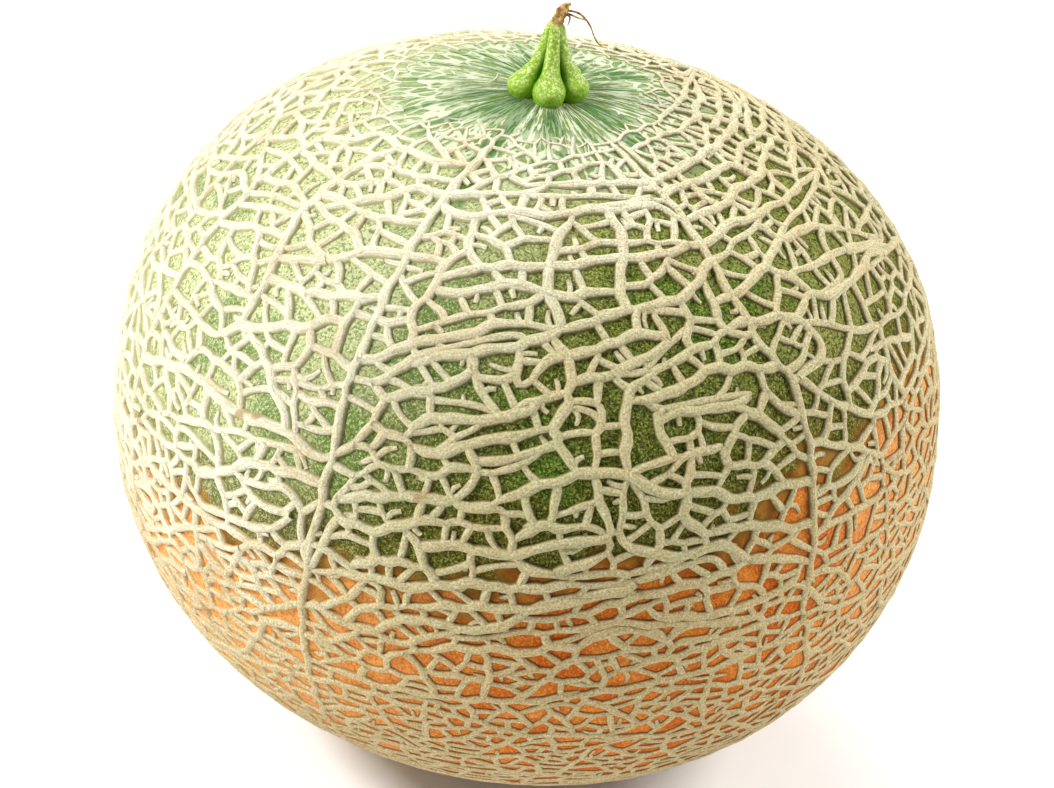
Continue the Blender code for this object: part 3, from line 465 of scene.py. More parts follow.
# %% The net: corners as unit directions, cells as loops of corners, a rank for each ridge
class Net:
    """Corners, cells and ridges of a net. side gives the cell on the left of a step between corners."""

    def __init__(self):
        self.p, self.degree, self.cells, self.side, self.rank, self.made = [], [], {}, {}, {}, 0
        self.top = self.foot = self.ring = None
        self.ends = []

    def add(self, d):
        """A new corner in that direction."""
        self.p.append(unit(np.asarray(d, float)))
        self.degree.append(2)
        return len(self.p) - 1

    def add_cell(self, loop):
        """A new cell with that loop of corners round it."""
        self.made += 1
        self.cells[self.made] = loop
        for a, b in zip(loop, loop[1:] + loop[:1]):
            self.side[a, b] = self.made
        return self.made

    def mark(self, chain, rank):
        """Gives the ridge pieces of a chain their rank."""
        for a, b in zip(chain, chain[1:]):
            self.rank[frozenset((a, b))] = rank

    def split_cell(self, cell, chain, rank):
        """Runs a ridge through a cell, from one of its corners to another."""
        loop = self.cells.pop(cell)
        i = loop.index(chain[0])
        loop = loop[i:] + loop[:i]
        j = loop.index(chain[-1])
        self.mark(chain, rank)
        self.degree[chain[0]] += 1
        self.degree[chain[-1]] += 1
        return self.add_cell(loop[:j + 1] + chain[-2:0:-1]), self.add_cell(loop[j:] + chain[:-1])

    def divides(self, cell, chain, least):
        """True if a chain leaves two cells of some size, neither of them turned inside out."""
        loop = self.cells[cell]
        xy, frame = self.flat(cell)
        i = loop.index(chain[0])
        j = (loop.index(chain[-1]) - i) % len(loop)
        xy = np.roll(xy, -i, axis=0)
        middle = np.array([self.drop(self.p[k], frame) for k in chain[1:-1]]).reshape(-1, 2)
        parts = (np.r_[xy[:j + 1], middle[::-1]], np.r_[xy[j:], xy[:1], middle])
        return j > 0 and all(len(part) > 2 and area_and_middle(part)[0] > least for part in parts)

    def flat(self, cell):
        """The cell laid flat on the plane that touches its middle, and that plane."""
        corners = np.array([self.p[i] for i in self.cells[cell]])
        c = unit(corners.mean(0))
        e = np.cross([0, 0, 1.0], c)
        e /= max(np.linalg.norm(e), 1e-9)
        n = np.cross(c, e)
        r = radius_at(*map(float, c))
        return np.c_[corners @ e, corners @ n] / (corners @ c)[:, None] * r, (c, e, n, r)

    def lift(self, xy, frame):
        """The direction of a place on a cell's plane."""
        c, e, n, r = frame
        return unit(c + (xy[0] * e + xy[1] * n) / r)

    def drop(self, d, frame):
        """The place of a direction on a cell's plane."""
        c, e, n, r = frame
        return np.array([d @ e, d @ n]) * r / (d @ c)

    def roomy(self, cell, d, room):
        """True if direction d lies clear of the corners of its cell."""
        xy, frame = self.flat(cell)
        return np.linalg.norm(xy - self.drop(d, frame), axis=1).min() > room

    def find(self, d, among=None):
        """The cell that holds direction d."""
        for cell in among or self.cells:
            corners = np.array([self.p[i] for i in self.cells[cell]])
            if (corners @ d).min() < SAME_SIDE:
                continue
            xy, frame = self.flat(cell)
            if inside(xy, self.drop(d, frame)):
                return cell
        return None

    def meet(self, cell, hit, xy, frame, snap):
        """Where a line meets a side: a corner that is close by, or the place of a new one."""
        loop = self.cells[cell]
        i, s = hit[1], hit[2]
        j = (i + 1) % len(loop)
        if min(s, 1 - s) * np.linalg.norm(xy[j] - xy[i]) < snap:
            return loop[i] if s < 0.5 else loop[j]
        return loop[i], loop[j], self.lift(xy[i] * (1 - s) + xy[j] * s, frame)

    def settle(self, spot):
        """Puts the new corner of meet() into its side."""
        if isinstance(spot, int):
            return spot
        a, b, d = spot
        k = self.add(d)
        for i, j in ((a, b), (b, a)):
            cell = self.side.pop((i, j))
            self.cells[cell].insert(self.cells[cell].index(i) + 1, k)
            self.side[i, k] = self.side[k, j] = cell
        self.mark([a, k, b], self.rank.pop(frozenset((a, b))))
        return k

    def fade(self, chain, first, last):
        """Hides the parts by which a row was carried on, where they are long, and notes its true ends."""
        ends = [chain[1::-1]] * first + [chain[-2:]] * last
        for end, beyond in ends:
            if np.linalg.norm(self.p[end] - self.p[beyond]) * HALF_WIDTH > TAIL_SHORT:
                self.mark([end, beyond], HIDDEN)
                self.ends.append(end)

    def unite(self, chain):
        """Takes out a ridge between two junctions, so that its two cells become one. False if they can't."""
        left, right = self.side[chain[0], chain[1]], self.side[chain[1], chain[0]]
        if left == right or self.top in (left, right) or self.foot in (left, right):
            return False
        around = []
        for cell, start, stop in ((left, chain[-1], chain[0]), (right, chain[0], chain[-1])):
            loop = self.cells[cell]
            i = loop.index(start)
            loop = loop[i:] + loop[:i]
            around += loop[:loop.index(stop)]
        if len(set(around)) < len(around) or len(around) < 3:
            return False
        for a, b in zip(chain, chain[1:]):
            del self.side[a, b], self.side[b, a], self.rank[frozenset((a, b))]
        self.degree[chain[0]] -= 1
        self.degree[chain[-1]] -= 1
        del self.cells[left], self.cells[right]
        self.add_cell(around)
        return True

    def route(self, places, rank, stage, sway=0.0):
        """A ridge along a row of directions, carried on at both ends to the ridges met there."""
        row = swayed(places, stage["piece"], sway)
        row.append(unit(row[-1] + (row[-1] - row[-2]) * FAR))
        cell = self.find(row[0])
        if cell in (None, self.top, self.foot):
            return
        xy, frame = self.flat(cell)
        o, q = self.drop(row[0], frame), self.drop(row[1], frame)
        back = [h for h in meetings(xy, o, o - q) if h[0] > 0]
        if not back:
            return
        chain = [self.settle(self.meet(cell, min(back), xy, frame, stage["snap"]))]
        first = True
        for n, d in enumerate(row):
            last = n == len(row) - 1
            while True:
                xy, frame = self.flat(cell)
                loop = self.cells[cell]
                here = self.drop(self.p[chain[-1]], frame)
                if d @ frame[0] < SAME_SIDE:
                    d = unit(self.p[chain[-1]] + NEARER * unit(d - self.p[chain[-1]]))
                step = self.drop(d, frame) - here
                i = loop.index(chain[-1]) if chain[-1] in loop else None
                own = () if i is None else (i, (i - 1) % len(loop))
                ahead = [h for h in meetings(xy, here, step) if 0 < h[0] <= 1 and h[1] not in own]
                if not ahead:
                    break
                hit = min(ahead)
                beyond = self.lift(here + step * hit[0] + unit(step) * PAST, frame)
                k = self.settle(self.meet(cell, hit, xy, frame, stage["snap"]))
                if self.divides(cell, chain + [k], stage["least"]):
                    self.split_cell(cell, chain + [k], rank)
                    if stage is SEEN:
                        self.fade(chain + [k], first, last)
                first = False
                cell = self.find(beyond, [g for g, l in self.cells.items() if k in l])
                if last or cell in (None, self.top, self.foot):
                    return
                chain = [k]
            if not last and self.roomy(cell, d, stage["snap"]):
                chain.append(self.add(d))


def swayed(row, piece, sway):
    """The row with places put in between its far ones, each a little to one side or the other."""
    out = row[:1]
    for a, b in zip(row, row[1:]):
        count = int(np.linalg.norm(b - a) * HALF_WIDTH / piece + 0.5)
        for k in range(1, count):
            side = unit(np.cross(a, b)) * sway / HALF_WIDTH * (-1) ** (k + len(out))
            out.append(unit(a + (b - a) * k / count + side))
        out.append(b)
    return out


# %% [markdown]
# The seams come first. They are the faint straight lines that run from the stem to the foot of the fruit,
# between rings that keep the crown and the foot apart from the net.

# %% Seams and first cuts


def ring_corner(net, a, b):
    """A corner halfway between two corners of a level ring."""
    z = net.p[a][2]
    d = net.p[a] + net.p[b]
    grow = math.sqrt(1 - z * z) / math.hypot(d[0], d[1])
    return net.add([d[0] * grow, d[1] * grow, z])


def seamed_net(seen):
    """Seams from a ring round the stem to a ring at the foot, and the first ridges across.

    seen holds the traced course of a seam by its number, as directions from top to foot."""
    net = Net()
    lats = np.linspace(90 - CROWN_RING, -90 + FOOT_RING, SEAM_STEPS)
    spacing = lats[0] - lats[1]
    lines = []
    for k, (lon, lean) in enumerate(SEAMS):
        line = []
        for lat in lats:
            sway = SEAM_SWAY * math.sin(lat / SEAM_WAVES + 1.7 * k) * math.cos(math.radians(lat))
            place = lon + lean * max(lat, 0) / SEAM_LEAN_TOP + sway
            if k in seen:
                lons, heights = lon_lat(seen[k])
                place = float(np.interp(-lat, -heights, lons))
            line.append(net.add(direction(place, lat)))
        net.mark(line, SEAM)
        lines.append(line)
    pairs = list(zip(lines, lines[1:] + lines[:1]))
    heads = [ring_corner(net, a[0], b[0]) for a, b in pairs]
    heels = [ring_corner(net, a[-1], b[-1]) for a, b in pairs]
    crown = [v for line, head in zip(lines, heads) for v in (line[0], head)]
    under = [v for line, heel in zip(lines, heels) for v in (line[-1], heel)]
    net.ring = under
    for v in crown + under:
        net.degree[v] = 3
    net.mark(crown + crown[:1], 2)
    net.mark(under + under[:1], 2)
    net.top = net.add_cell(crown)
    net.foot = net.add_cell(under[::-1])
    for k, (left, right) in enumerate(pairs):
        rest = net.add_cell(left + [heels[k]] + right[::-1] + [heads[k]])
        for n, lat in enumerate(FIRST_CUTS):
            i = int(round((lats[0] - lat) / spacing)) + (k * 2 + n) % 3 - 1
            j = i + (1 if (k + n) % 2 else -1)
            a, b = net.p[left[i]], net.p[right[j]]
            between = [net.add(a * (1 - t) + b * t) for t in (0.25, 0.5, 0.75)]
            two = net.split_cell(rest, [left[i]] + between + [right[j]], FIRST)
            rest = two[0] if heels[k] in net.cells[two[0]] else two[1]
    return net


# %% [markdown]
# Each later crack takes the shortest way across its cell, keeps clear of other junctions and meets the
# older ridge squarely. A few lines are tried for each cell and the cheapest one is cut.

# %% Splitting cells


def aim(d, stage):
    """The wanted area of a cell and how much wider than tall it should be, from where it lies."""
    low = math.degrees(math.acos(max(-1, min(1, d[2]))))
    zones = (SHOULDER, LOWER, UNDERSIDE)
    belly, lower, under = [min(max((low - start) / span, 0), 1) for start, span in zones]
    widest = stage["wide"] + (stage["wide_low"] - stage["wide"]) * lower
    wide = stage["steep"] + (widest - stage["steep"]) * belly
    area = stage["area"] * (CROWN_AREA + (1 - CROWN_AREA) * belly)
    area = area * (1 - stage["less_low"] * lower) * (1 - UNDER_LESS * under)
    return area, wide + (1 - wide) * under


def polygon_between(xy, a, b):
    """The piece of a polygon between two meetings of a line."""
    n = len(xy)
    ends = [xy[h[1]] * (1 - h[2]) + xy[(h[1] + 1) % n] * h[2] for h in (a, b)]
    return np.array([ends[0]] + [xy[(a[1] + 1 + k) % n] for k in range((b[1] - a[1]) % n)] + [ends[1]])


def best_cut(net, cell, xy, frame, rng, stage):
    """The best of a few lines across a cell: short, square to the sides, away from other junctions.

    Where the middle of a bent cell lies outside it, lines between its corners are tried as well."""
    loop = net.cells[cell]
    total, middle = area_and_middle(xy)
    squash = np.array([1, aim(frame[0], stage)[1]])
    q = (xy - middle) * squash
    gaps = np.linalg.norm(q[:, None] - q[None], axis=2)
    i, j = np.unravel_index(np.argmax(gaps), gaps.shape)
    axis = unit(q[i] - q[j])
    size = math.sqrt(total)
    busy = np.array([net.degree[k] > 2 for k in loop])
    best = None
    for n in range(TRIES + stage["again"]):
        if n < TRIES:
            turn = rng.gauss(0, TURN)
            c, s = math.cos(turn), math.sin(turn)
            v = unit(np.array([-axis[1] * c - axis[0] * s, axis[0] * c - axis[1] * s]) / squash)
            o = middle + axis / squash * rng.uniform(-SHIFT, SHIFT) * size
        elif best is None:
            turn = rng.uniform(0, math.pi)
            v = np.array([math.cos(turn), math.sin(turn)])
            o = (xy[rng.randrange(len(xy))] + xy[rng.randrange(len(xy))]) / 2
        else:
            break
        hits = meetings(xy, o, v) if inside(xy, o) else []
        ahead = [h for h in hits if h[0] > 0]
        back = [h for h in hits if h[0] <= 0]
        if not ahead or not back:
            continue
        a, b = max(back), min(ahead)
        score = (b[0] - a[0]) / size
        for h in (a, b):
            side = unit(xy[(h[1] + 1) % len(loop)] - xy[h[1]])
            near = np.linalg.norm(xy[busy] - (o + v * h[0]), axis=1).min() if busy.any() else size
            close = math.exp(-(near / (NEAR_REACH * stage["snap"])) ** 2)
            score += NEAR_COST * close + SLANT_COST * (side @ v) ** 2
        share = abs(area_and_middle(polygon_between(xy, a, b))[0] / total)
        score += SHARE_COST * max(FAIR_SHARE - min(share, 1 - share), 0)
        if best is None or score < best[0]:
            best = (score, a, b, v)
    return best


def split_once(net, cell, rng, stage, ranks):
    """Splits a cell with a slightly curved ridge and gives the two new cells."""
    xy, frame = net.flat(cell)
    if area_and_middle(xy)[0] < stage["least"]:
        return ()
    best = best_cut(net, cell, xy, frame, rng, stage)
    if best is None:
        return ()
    _, a, b, v = best
    length = b[0] - a[0]
    spots = [net.meet(cell, h, xy, frame, stage["snap"]) for h in (a, b)]
    first, second = [net.settle(spot) for spot in spots]
    ends = [net.drop(net.p[k], frame) for k in (first, second)]
    across = np.array([-v[1], v[0]])
    bow, wave = rng.gauss(0, BOW) * length, rng.gauss(0, WAVE) * length
    count = max(int(round(length / stage["piece"])) - 1, 0)
    for bend in (1, 0):
        between = []
        for k in range(1, count + 1):
            t = k / (count + 1)
            sag = bend * (bow * math.sin(math.pi * t) + wave * math.sin(2 * math.pi * t))
            between.append(ends[0] * (1 - t) + ends[1] * t + across * sag)
        if all(inside(xy, m) for m in between):
            break
    else:
        between = []
    loop = net.cells[cell]
    gap = (loop.index(second) - loop.index(first)) % len(loop)
    if gap == 0 or (gap in (1, len(loop) - 1) and not between):
        return ()
    chain = [first] + [net.add(net.lift(m, frame)) for m in between] + [second]
    older = area_and_middle(xy)[0] > LARGE_CELL * stage["area"]
    return net.split_cell(cell, chain, ranks[0] if older else ranks[1])


def grow(net, rng, stage, ranks, bare):
    """Splits the largest cells, measured against what is wanted there, until all are small enough."""
    heap = []

    def push(cell):
        xy, frame = net.flat(cell)
        size = abs(area_and_middle(xy)[0]) / aim(frame[0], stage)[0]
        heapq.heappush(heap, (-size * math.exp(rng.gauss(0, UNEVEN)), cell))

    for cell in list(net.cells):
        if cell not in bare:
            push(cell)
    failed = {}
    while heap and heap[0][0] < -1:
        cell = heapq.heappop(heap)[1]
        for new in split_once(net, cell, rng, stage, ranks):
            push(new)
        if cell in net.cells and failed.setdefault(cell, 0) < stage["again"]:
            failed[cell] += 1
            push(cell)


def relax(net):
    """Draws every corner toward its neighbours, most of all along the ridge that runs through it."""
    near = [[] for _ in net.p]
    for edge in net.rank:
        a, b = tuple(edge)
        near[a].append(b)
        near[b].append(a)
    held = set(net.cells[net.top]) | set(net.ring)
    p = np.array(net.p)
    rows = []
    for k, around in enumerate(near):
        if len(around) < 2 or k in held:
            continue
        weight = np.ones(len(around))
        if len(around) > 2:
            arms = [unit(p[m] - p[k]) for m in around]
            pairs = [(arms[x] @ arms[y], x, y) for x in range(len(arms)) for y in range(x)]
            through = min(pairs)[1:]
            weight = np.array([1.0 if x in through else BUTT_PULL for x in range(len(arms))])
        rows += [(k, m, w / weight.sum()) for m, w in zip(around, weight)]
    where = np.array([row[0] for row in rows])
    other = np.array([row[1] for row in rows])
    weight = np.array([row[2] for row in rows])
    moving = np.unique(where)
    for _ in range(RELAX_ROUNDS):
        mean = np.zeros_like(p)
        np.add.at(mean, where, p[other] * weight[:, None])
        p[moving] += RELAX_PULL * (mean[moving] - p[moving])
        p /= np.linalg.norm(p, axis=1, keepdims=True)
    net.p = list(p)


def long_rows(rng):
    """Long wavy ridges round the sides and the back, in rows one above the other."""
    for n, height in enumerate(ROW_HEIGHTS):
        start = FRONT_SPAN if FRONT_HEIGHTS[0] < height < FRONT_HEIGHTS[1] else 0
        lon = start + rng.uniform(*ROW_START)
        end = 360 - start
        while lon < end - ROW_LENGTH[0]:
            length = min(rng.uniform(*ROW_LENGTH), end - lon)
            phase, drift = rng.uniform(0, 6.3), rng.uniform(-ROW_DRIFT, ROW_DRIFT)
            row = []
            for turn in np.arange(lon, lon + length, ROW_STEP):
                lat = height + drift * (turn - lon) + ROW_WAVE * math.sin(turn / ROW_WAVES + phase)
                row.append((turn, lat))
            yield row
            lon += length + rng.uniform(*ROW_GAP)


# %% Grow the main ridges, as in the solid
rng = random.Random(SEED)
solid = seamed_net({})
for row in LONG_RIDGES:
    solid.route(coarse(row), 0, MAIN, SWAY)
for row in long_rows(rng):
    solid.route([direction(*place) for place in row], 1, MAIN, SWAY)
grow(solid, rng, MAIN, (2, 3), (solid.top, solid.foot))
relax(solid)
print("main net", len(solid.cells), "cells", len(solid.rank), "ridge pieces")

# %% [markdown]
# The finer net takes its front from the photo and its other sides from the solid's main net, so the two
# agree all round. Then the youngest cracks are grown between them.

# %% Chain pieces of a net into strands


def strands_of(net, wanted):
    """Chains of corners along the wanted ridge pieces: at a corner the two straightest go together."""
    p = np.array(net.p)
    near = {}
    for edge in wanted:
        a, b = tuple(edge)
        near.setdefault(a, []).append(b)
        near.setdefault(b, []).append(a)
    through = {}
    for k, around in near.items():
        arms = unit(p[around] - p[k])
        straight = sorted((float(arms[x] @ arms[y]), x, y) for x in range(len(arms)) for y in range(x))
        used = set()
        for bend, x, y in straight:
            if bend < NEARLY_BACK and not {x, y} & used:
                used |= {x, y}
                through[k, around[x]] = around[y]
                through[k, around[y]] = around[x]
    left = dict.fromkeys(wanted)
    strands = []
    for edge in wanted:
        if edge not in left:
            continue
        del left[edge]
        chain = list(edge)
        for _ in range(2):
            while (chain[-1], chain[-2]) in through:
                ahead = through[chain[-1], chain[-2]]
                if frozenset((chain[-1], ahead)) not in left:
                    break
                del left[frozenset((chain[-1], ahead))]
                chain.append(ahead)
            chain.reverse()
        strands.append(chain)
    return strands


# %% Grow the finer net


def pictured(d):
    """True for directions in the part of the fruit where the photo shows the ridges well."""
    return (d @ -AHEAD > ZONE_SLANT) & (d[..., 2] > ZONE_FOOT)


def clear(net):
    """Joins the end of each traced row to the first ridge ahead, then takes out all else that is hidden."""
    near = {}
    for edge in net.rank:
        a, b = tuple(edge)
        near.setdefault(a, set()).add(b)
        near.setdefault(b, set()).add(a)

    def hidden(a, b):
        return net.rank[frozenset((a, b))] == HIDDEN

    for end in net.ends:
        path = [end]
        while len(path) < 2 or all(hidden(path[-1], m) for m in near[path[-1]]):
            ahead = [m for m in near[path[-1]] if hidden(path[-1], m) and m not in path]
            if not ahead:
                break
            course = net.p[path[-1]] - net.p[path[-2]] if len(path) > 1 else 0 * net.p[end]
            path.append(max(ahead, key=lambda m: float(unit(net.p[m] - net.p[path[-1]]) @ course)))
        length = sum(np.linalg.norm(net.p[a] - net.p[b]) for a, b in zip(path, path[1:])) * HALF_WIDTH
        if length < TAIL_LONG:
            net.mark(path, 4)
    for edge in [e for e, age in net.rank.items() if age == HIDDEN]:
        if edge not in net.rank:
            continue
        chain = list(edge)
        for _ in range(2):
            while len(near[chain[-1]]) == 2:
                ahead = (near[chain[-1]] - {chain[-2]}).pop()
                if ahead in chain or not hidden(chain[-1], ahead):
                    break
                chain.append(ahead)
            chain.reverse()
        if net.unite(chain):
            for a, b in zip(chain, chain[1:]):
                near[a].discard(b)
                near[b].discard(a)
        else:
            net.mark(chain, 4)


net = seamed_net({k: on_fruit(pixels) for k, pixels in SEAMS_SEEN.items()})
for row in LONG_RIDGES:
    net.route(traced(row), 0, SEEN)
for row in SHORT_RIDGES:
    net.route(traced(row), 3, SEEN)
place = np.array(solid.p)
kept = [e for e, rank in solid.rank.items() if rank in (1, 2, 3) and not pictured(place[list(e)]).any()]
for chain in sorted(strands_of(solid, kept), key=len, reverse=True):
    age = min(solid.rank[frozenset(pair)] for pair in zip(chain, chain[1:]))
    net.route(list(place[chain]), age, SEEN)
for edge, age in net.rank.items():
    if age == FIRST:
        net.rank[edge] = HIDDEN if pictured(np.array(net.p)[list(edge)]).any() else 1
clear(net)
print("with the main ridges", len(net.cells), "cells")
grow(net, rng, FINE, (3, 4), (net.top,))
relax(net)
print("fine net", len(net.cells), "cells", len(net.rank), "ridge pieces")
LEVEL = -float(np.mean([solid.p[k][2] * body_radius(solid.p[k]) for k in solid.ring]))
print("centre", round(LEVEL, 2), "mm above the floor")

# %% [markdown]
# On the fruit a ridge runs straight on through a junction while the younger ridge butts into its side. So
# the pieces of the net are chained into long strands, and each strand becomes one rope with a smooth course.

# %% The ridges as strands
DEPTH = 1.1                                   # rind below the crest of the main ridges
HALF_WIDTHS = (1.12, 1.02, 0.96, 0.92, 0.74, 0.95)  # half the width of a ridge of each rank
HEIGHTS = (1.1, 1.05, 1.0, 0.92, 0.76, 1.1)
STEP = 1.15                                   # spacing of the rings of a strand
CROWN_FREE = (15.0, 24.0)                     # degrees round the stem without a net, least and most
CROWN_SIDE = 35.0                             # longitude where the net comes nearest to the stem
CROWN_TURN = (0.5, 0.9)                       # cosine of the turn from there where it grows, and span


def smooth(t):
    """0 below 0, 1 above 1, and 3 t^2 - 2 t^3 between."""
    t = np.clip(t, 0, 1)
    return t * t * (3 - 2 * t)


def below_crown(d):
    """Degrees by which each direction lies outside the bare crown, which reaches farther on one side."""
    toward = d @ direction(CROWN_SIDE, 0.0) / np.maximum(np.hypot(d[:, 0], d[:, 1]), 1e-6)
    free = CROWN_FREE[0] + (CROWN_FREE[1] - CROWN_FREE[0]) * smooth((CROWN_TURN[0] - toward) / CROWN_TURN[1])
    return np.degrees(np.arccos(np.clip(d[:, 2], -1, 1))) - free


p = np.array(net.p)
outside = below_crown(p) > 0
drawn = [edge for edge in net.rank if outside[list(edge)].any()]
strands = strands_of(net, drawn)
paths = [p[chain] for chain in strands]
ages = [np.array([net.rank[frozenset(pair)] for pair in zip(chain, chain[1:])]) for chain in strands]
print(len(strands), "strands, the longest of", max(map(len, strands)), "corners")

# %% [markdown]
# Many cells hold a short spur, a crack that stopped before it reached the far side. Each starts inside a
# ridge and points at the middle of its cell, and thins to a rounded end.

# %% Spurs
SPUR_SHARE = 0.34
SPUR_WIDTHS, SPUR_HEIGHTS = (0.62, 0.62, 0.46), (0.75, 0.66, 0.3)    # root, middle, tip
SPUR_CELL = 14                       # least area of a cell that has one
SPUR_ROOT = (0.35, 0.65)             # share of its side where it starts
SPUR_REACH, SPUR_BEND = (0.9, 1.4), 0.14
SQUARE, TO_MIDDLE = 0.7, 0.3         # how far it stands square to its side and points at the middle


def spurs_of(net, rng):
    """For a share of the cells, a short bent path from the middle of one side toward the cell's middle."""
    found = []
    for cell, loop in net.cells.items():
        if cell == net.top or rng.random() > SPUR_SHARE:
            continue
        xy, frame = net.flat(cell)
        area, middle = area_and_middle(xy)
        if area < SPUR_CELL:
            continue
        k = max(range(len(loop)), key=lambda i: np.linalg.norm(xy[i] - xy[i - 1]) * rng.uniform(0.6, 1))
        start = xy[k - 1] + (xy[k] - xy[k - 1]) * rng.uniform(*SPUR_ROOT)
        side = unit(xy[k] - xy[k - 1])
        inward = np.array([-side[1], side[0]])
        straight = inward * abs((middle - start) @ inward)
        tip = start + (straight * SQUARE + (middle - start) * TO_MIDDLE) * rng.uniform(*SPUR_REACH)
        bend = np.array([start[1] - tip[1], tip[0] - start[0]]) * rng.gauss(0, SPUR_BEND)
        found.append(unit(np.array([net.lift(q, frame) for q in (start, (start + tip) / 2 + bend, tip)])))
    return found


spurs = spurs_of(net, rng)
print(len(spurs), "spurs")

# %% [markdown]
# Every strand is a closed profile carried along a path. The profile is a low rounded arch with a thin skirt
# that lies on the rind, where the cork meets the skin and the painted shade of the ridge's foot lies. All
# strands are swept in one go: Hermite curves through the corners give the course, and the rings are one
# array.

# %% Sweep of the ridges
ACROSS = np.array([-1.25, -1.0, -0.9, -0.58, 0.0, 0.58, 0.9, 1.0, 1.25])
ARCH = np.array([-0.25, 0.02, 0.46, 0.86, 1.0, 0.86, 0.46, 0.02, -0.25])
CROWN_DEPTH, DEPTH_FROM, DEPTH_SPAN = 0.25, 6, 16           # share of DEPTH at the stem, and degrees from it
WIDTH_WAVES, HEIGHT_WAVE = ((0.09, 1.9), (0.07, 0.83)), (0.08, 1.3)    # share, and millimetres to a radian
WANDER, WANDER_WAVE = 0.12, 2.3


def skin_radius(d):
    """Distance from the centre to the rind: the net's envelope less a depth that lessens at the crown."""
    low = np.degrees(np.arccos(np.clip(d[..., 2], -1, 1)))
    grown = smooth((low - DEPTH_FROM) / DEPTH_SPAN)
    return body_radius(d) - DEPTH * (CROWN_DEPTH + (1 - CROWN_DEPTH) * grown)


def outward(d):
    """Normal of the superellipse: the gradient of its formula at that direction."""
    x, y, z = d[..., 0], d[..., 1], d[..., 2]
    half, n = np.where(z > 0, RISE, DROP), np.where(z > 0, TOP_ROUND, FOOT_ROUND)
    side = np.maximum(np.hypot(x, y), 1e-6)
    level = side ** (n - 2) / HALF_WIDTH ** n
    return unit(np.stack([x * level, y * level, np.sign(z) * np.abs(z) ** (n - 1) / half ** n], -1))


def sampled(paths, widths, heights, step):
    """Hermite curves through the corners of all paths, cut every step.

    Gives the places, the course, the width and height there, the strand's number and the length run."""
    size = np.array([len(path) for path in paths])
    first = np.r_[0, np.cumsum(size)[:-1]]
    d = np.concatenate(paths)
    place = d * skin_radius(d)[:, None]
    strand = np.repeat(np.arange(len(paths)), size)
    back = np.maximum(np.arange(len(d)) - 1, first[strand])
    ahead = np.minimum(np.arange(len(d)) + 1, first[strand] + size[strand] - 1)
    slope = unit(place[ahead] - place[back])
    start = np.nonzero(strand[:-1] == strand[1:])[0]
    length = np.linalg.norm(place[start + 1] - place[start], axis=1)
    cuts = np.maximum(np.round(length / step).astype(int), 1)
    closing = np.r_[strand[start[1:]] != strand[start[:-1]], True]
    count = cuts + closing
    piece = np.repeat(np.arange(len(start)), count)
    k = np.arange(count.sum()) - np.repeat(np.cumsum(count) - count, count)
    t = (k / cuts[piece])[:, None]
    a, b = start[piece], start[piece] + 1
    m, n = slope[a] * length[piece][:, None], slope[b] * length[piece][:, None]
    p = (2 * t**3 - 3 * t**2 + 1) * place[a] + (t**3 - 2 * t**2 + t) * m
    p += (-2 * t**3 + 3 * t**2) * place[b] + (t**3 - t**2) * n
    course = (6 * t**2 - 6 * t) * (place[a] - place[b]) + (3 * t**2 - 4 * t + 1) * m + (3 * t**2 - 2 * t) * n
    t = t[:, 0]
    sizes = (np.concatenate(widths), np.concatenate(heights))
    width, height = [value[a] * (1 - t) + value[b] * t for value in sizes]
    run = np.r_[0, np.cumsum(np.linalg.norm(np.diff(p, axis=0), axis=1))]
    return p, unit(course), width, height, strand[a], run


def ropes(name, paths, widths, heights, mat, seed, step=STEP):
    """A closed arch carried along every path, slowly changing its size and wandering a little sideways."""
    p, course, width, height, strand, run = sampled(paths, widths, heights, step)
    die = np.random.default_rng(seed)
    phase = die.uniform(0, 2 * np.pi, (3, len(paths)))[:, strand]
    (more, slow), (less, quick) = WIDTH_WAVES
    width = width * (1 + more * np.sin(run / slow + phase[0]) + less * np.sin(run / quick + phase[1]))
    height = height * (1 + HEIGHT_WAVE[0] * np.sin(run / HEIGHT_WAVE[1] + phase[2]))
    d = unit(p)
    p = d * skin_radius(d)[:, None]
    up = outward(d)
    side = unit(np.cross(course, up))
    p = p + side * (WANDER * np.sin(run / WANDER_WAVE + phase[1]))[:, None]
    rings = p[:, None] + side[:, None] * (ACROSS[None, :, None] * width[:, None, None])
    rise = np.where(ARCH > 0, ARCH * height[:, None], ARCH)
    rings = rings + up[:, None] * rise[..., None]
    rings[..., 2] = np.maximum(rings[..., 2] + LEVEL, 0.0)
    rows, columns = rings.shape[:2]
    index = np.arange(rows * columns).reshape(rows, columns)
    joined = strand[:-1] == strand[1:]
    a, b = index[:-1][joined], index[1:][joined]
    quads = np.stack([a, np.roll(a, -1, 1), np.roll(b, -1, 1), b], -1).reshape(-1, 4)
    opens = index[np.r_[True, ~joined]]
    ends = index[np.r_[~joined, True]][:, ::-1]
    ob = mesh_piece(name, rings.reshape(-1, 3), [quads[:, ::-1], opens[:, ::-1], ends[:, ::-1]], mat)
    shape = (rows, columns)
    across = np.broadcast_to(ACROSS, shape)
    along = np.broadcast_to(run[:, None], shape)
    own = np.broadcast_to(die.uniform(0, 1, len(paths))[strand][:, None], shape)
    stored(ob, "grain", np.stack([along, across * width[:, None], own * 40], -1), "FLOAT_VECTOR")
    stored(ob, "foot", np.abs(across), "FLOAT")
    stored(ob, "tone", own, "FLOAT")
    return ob


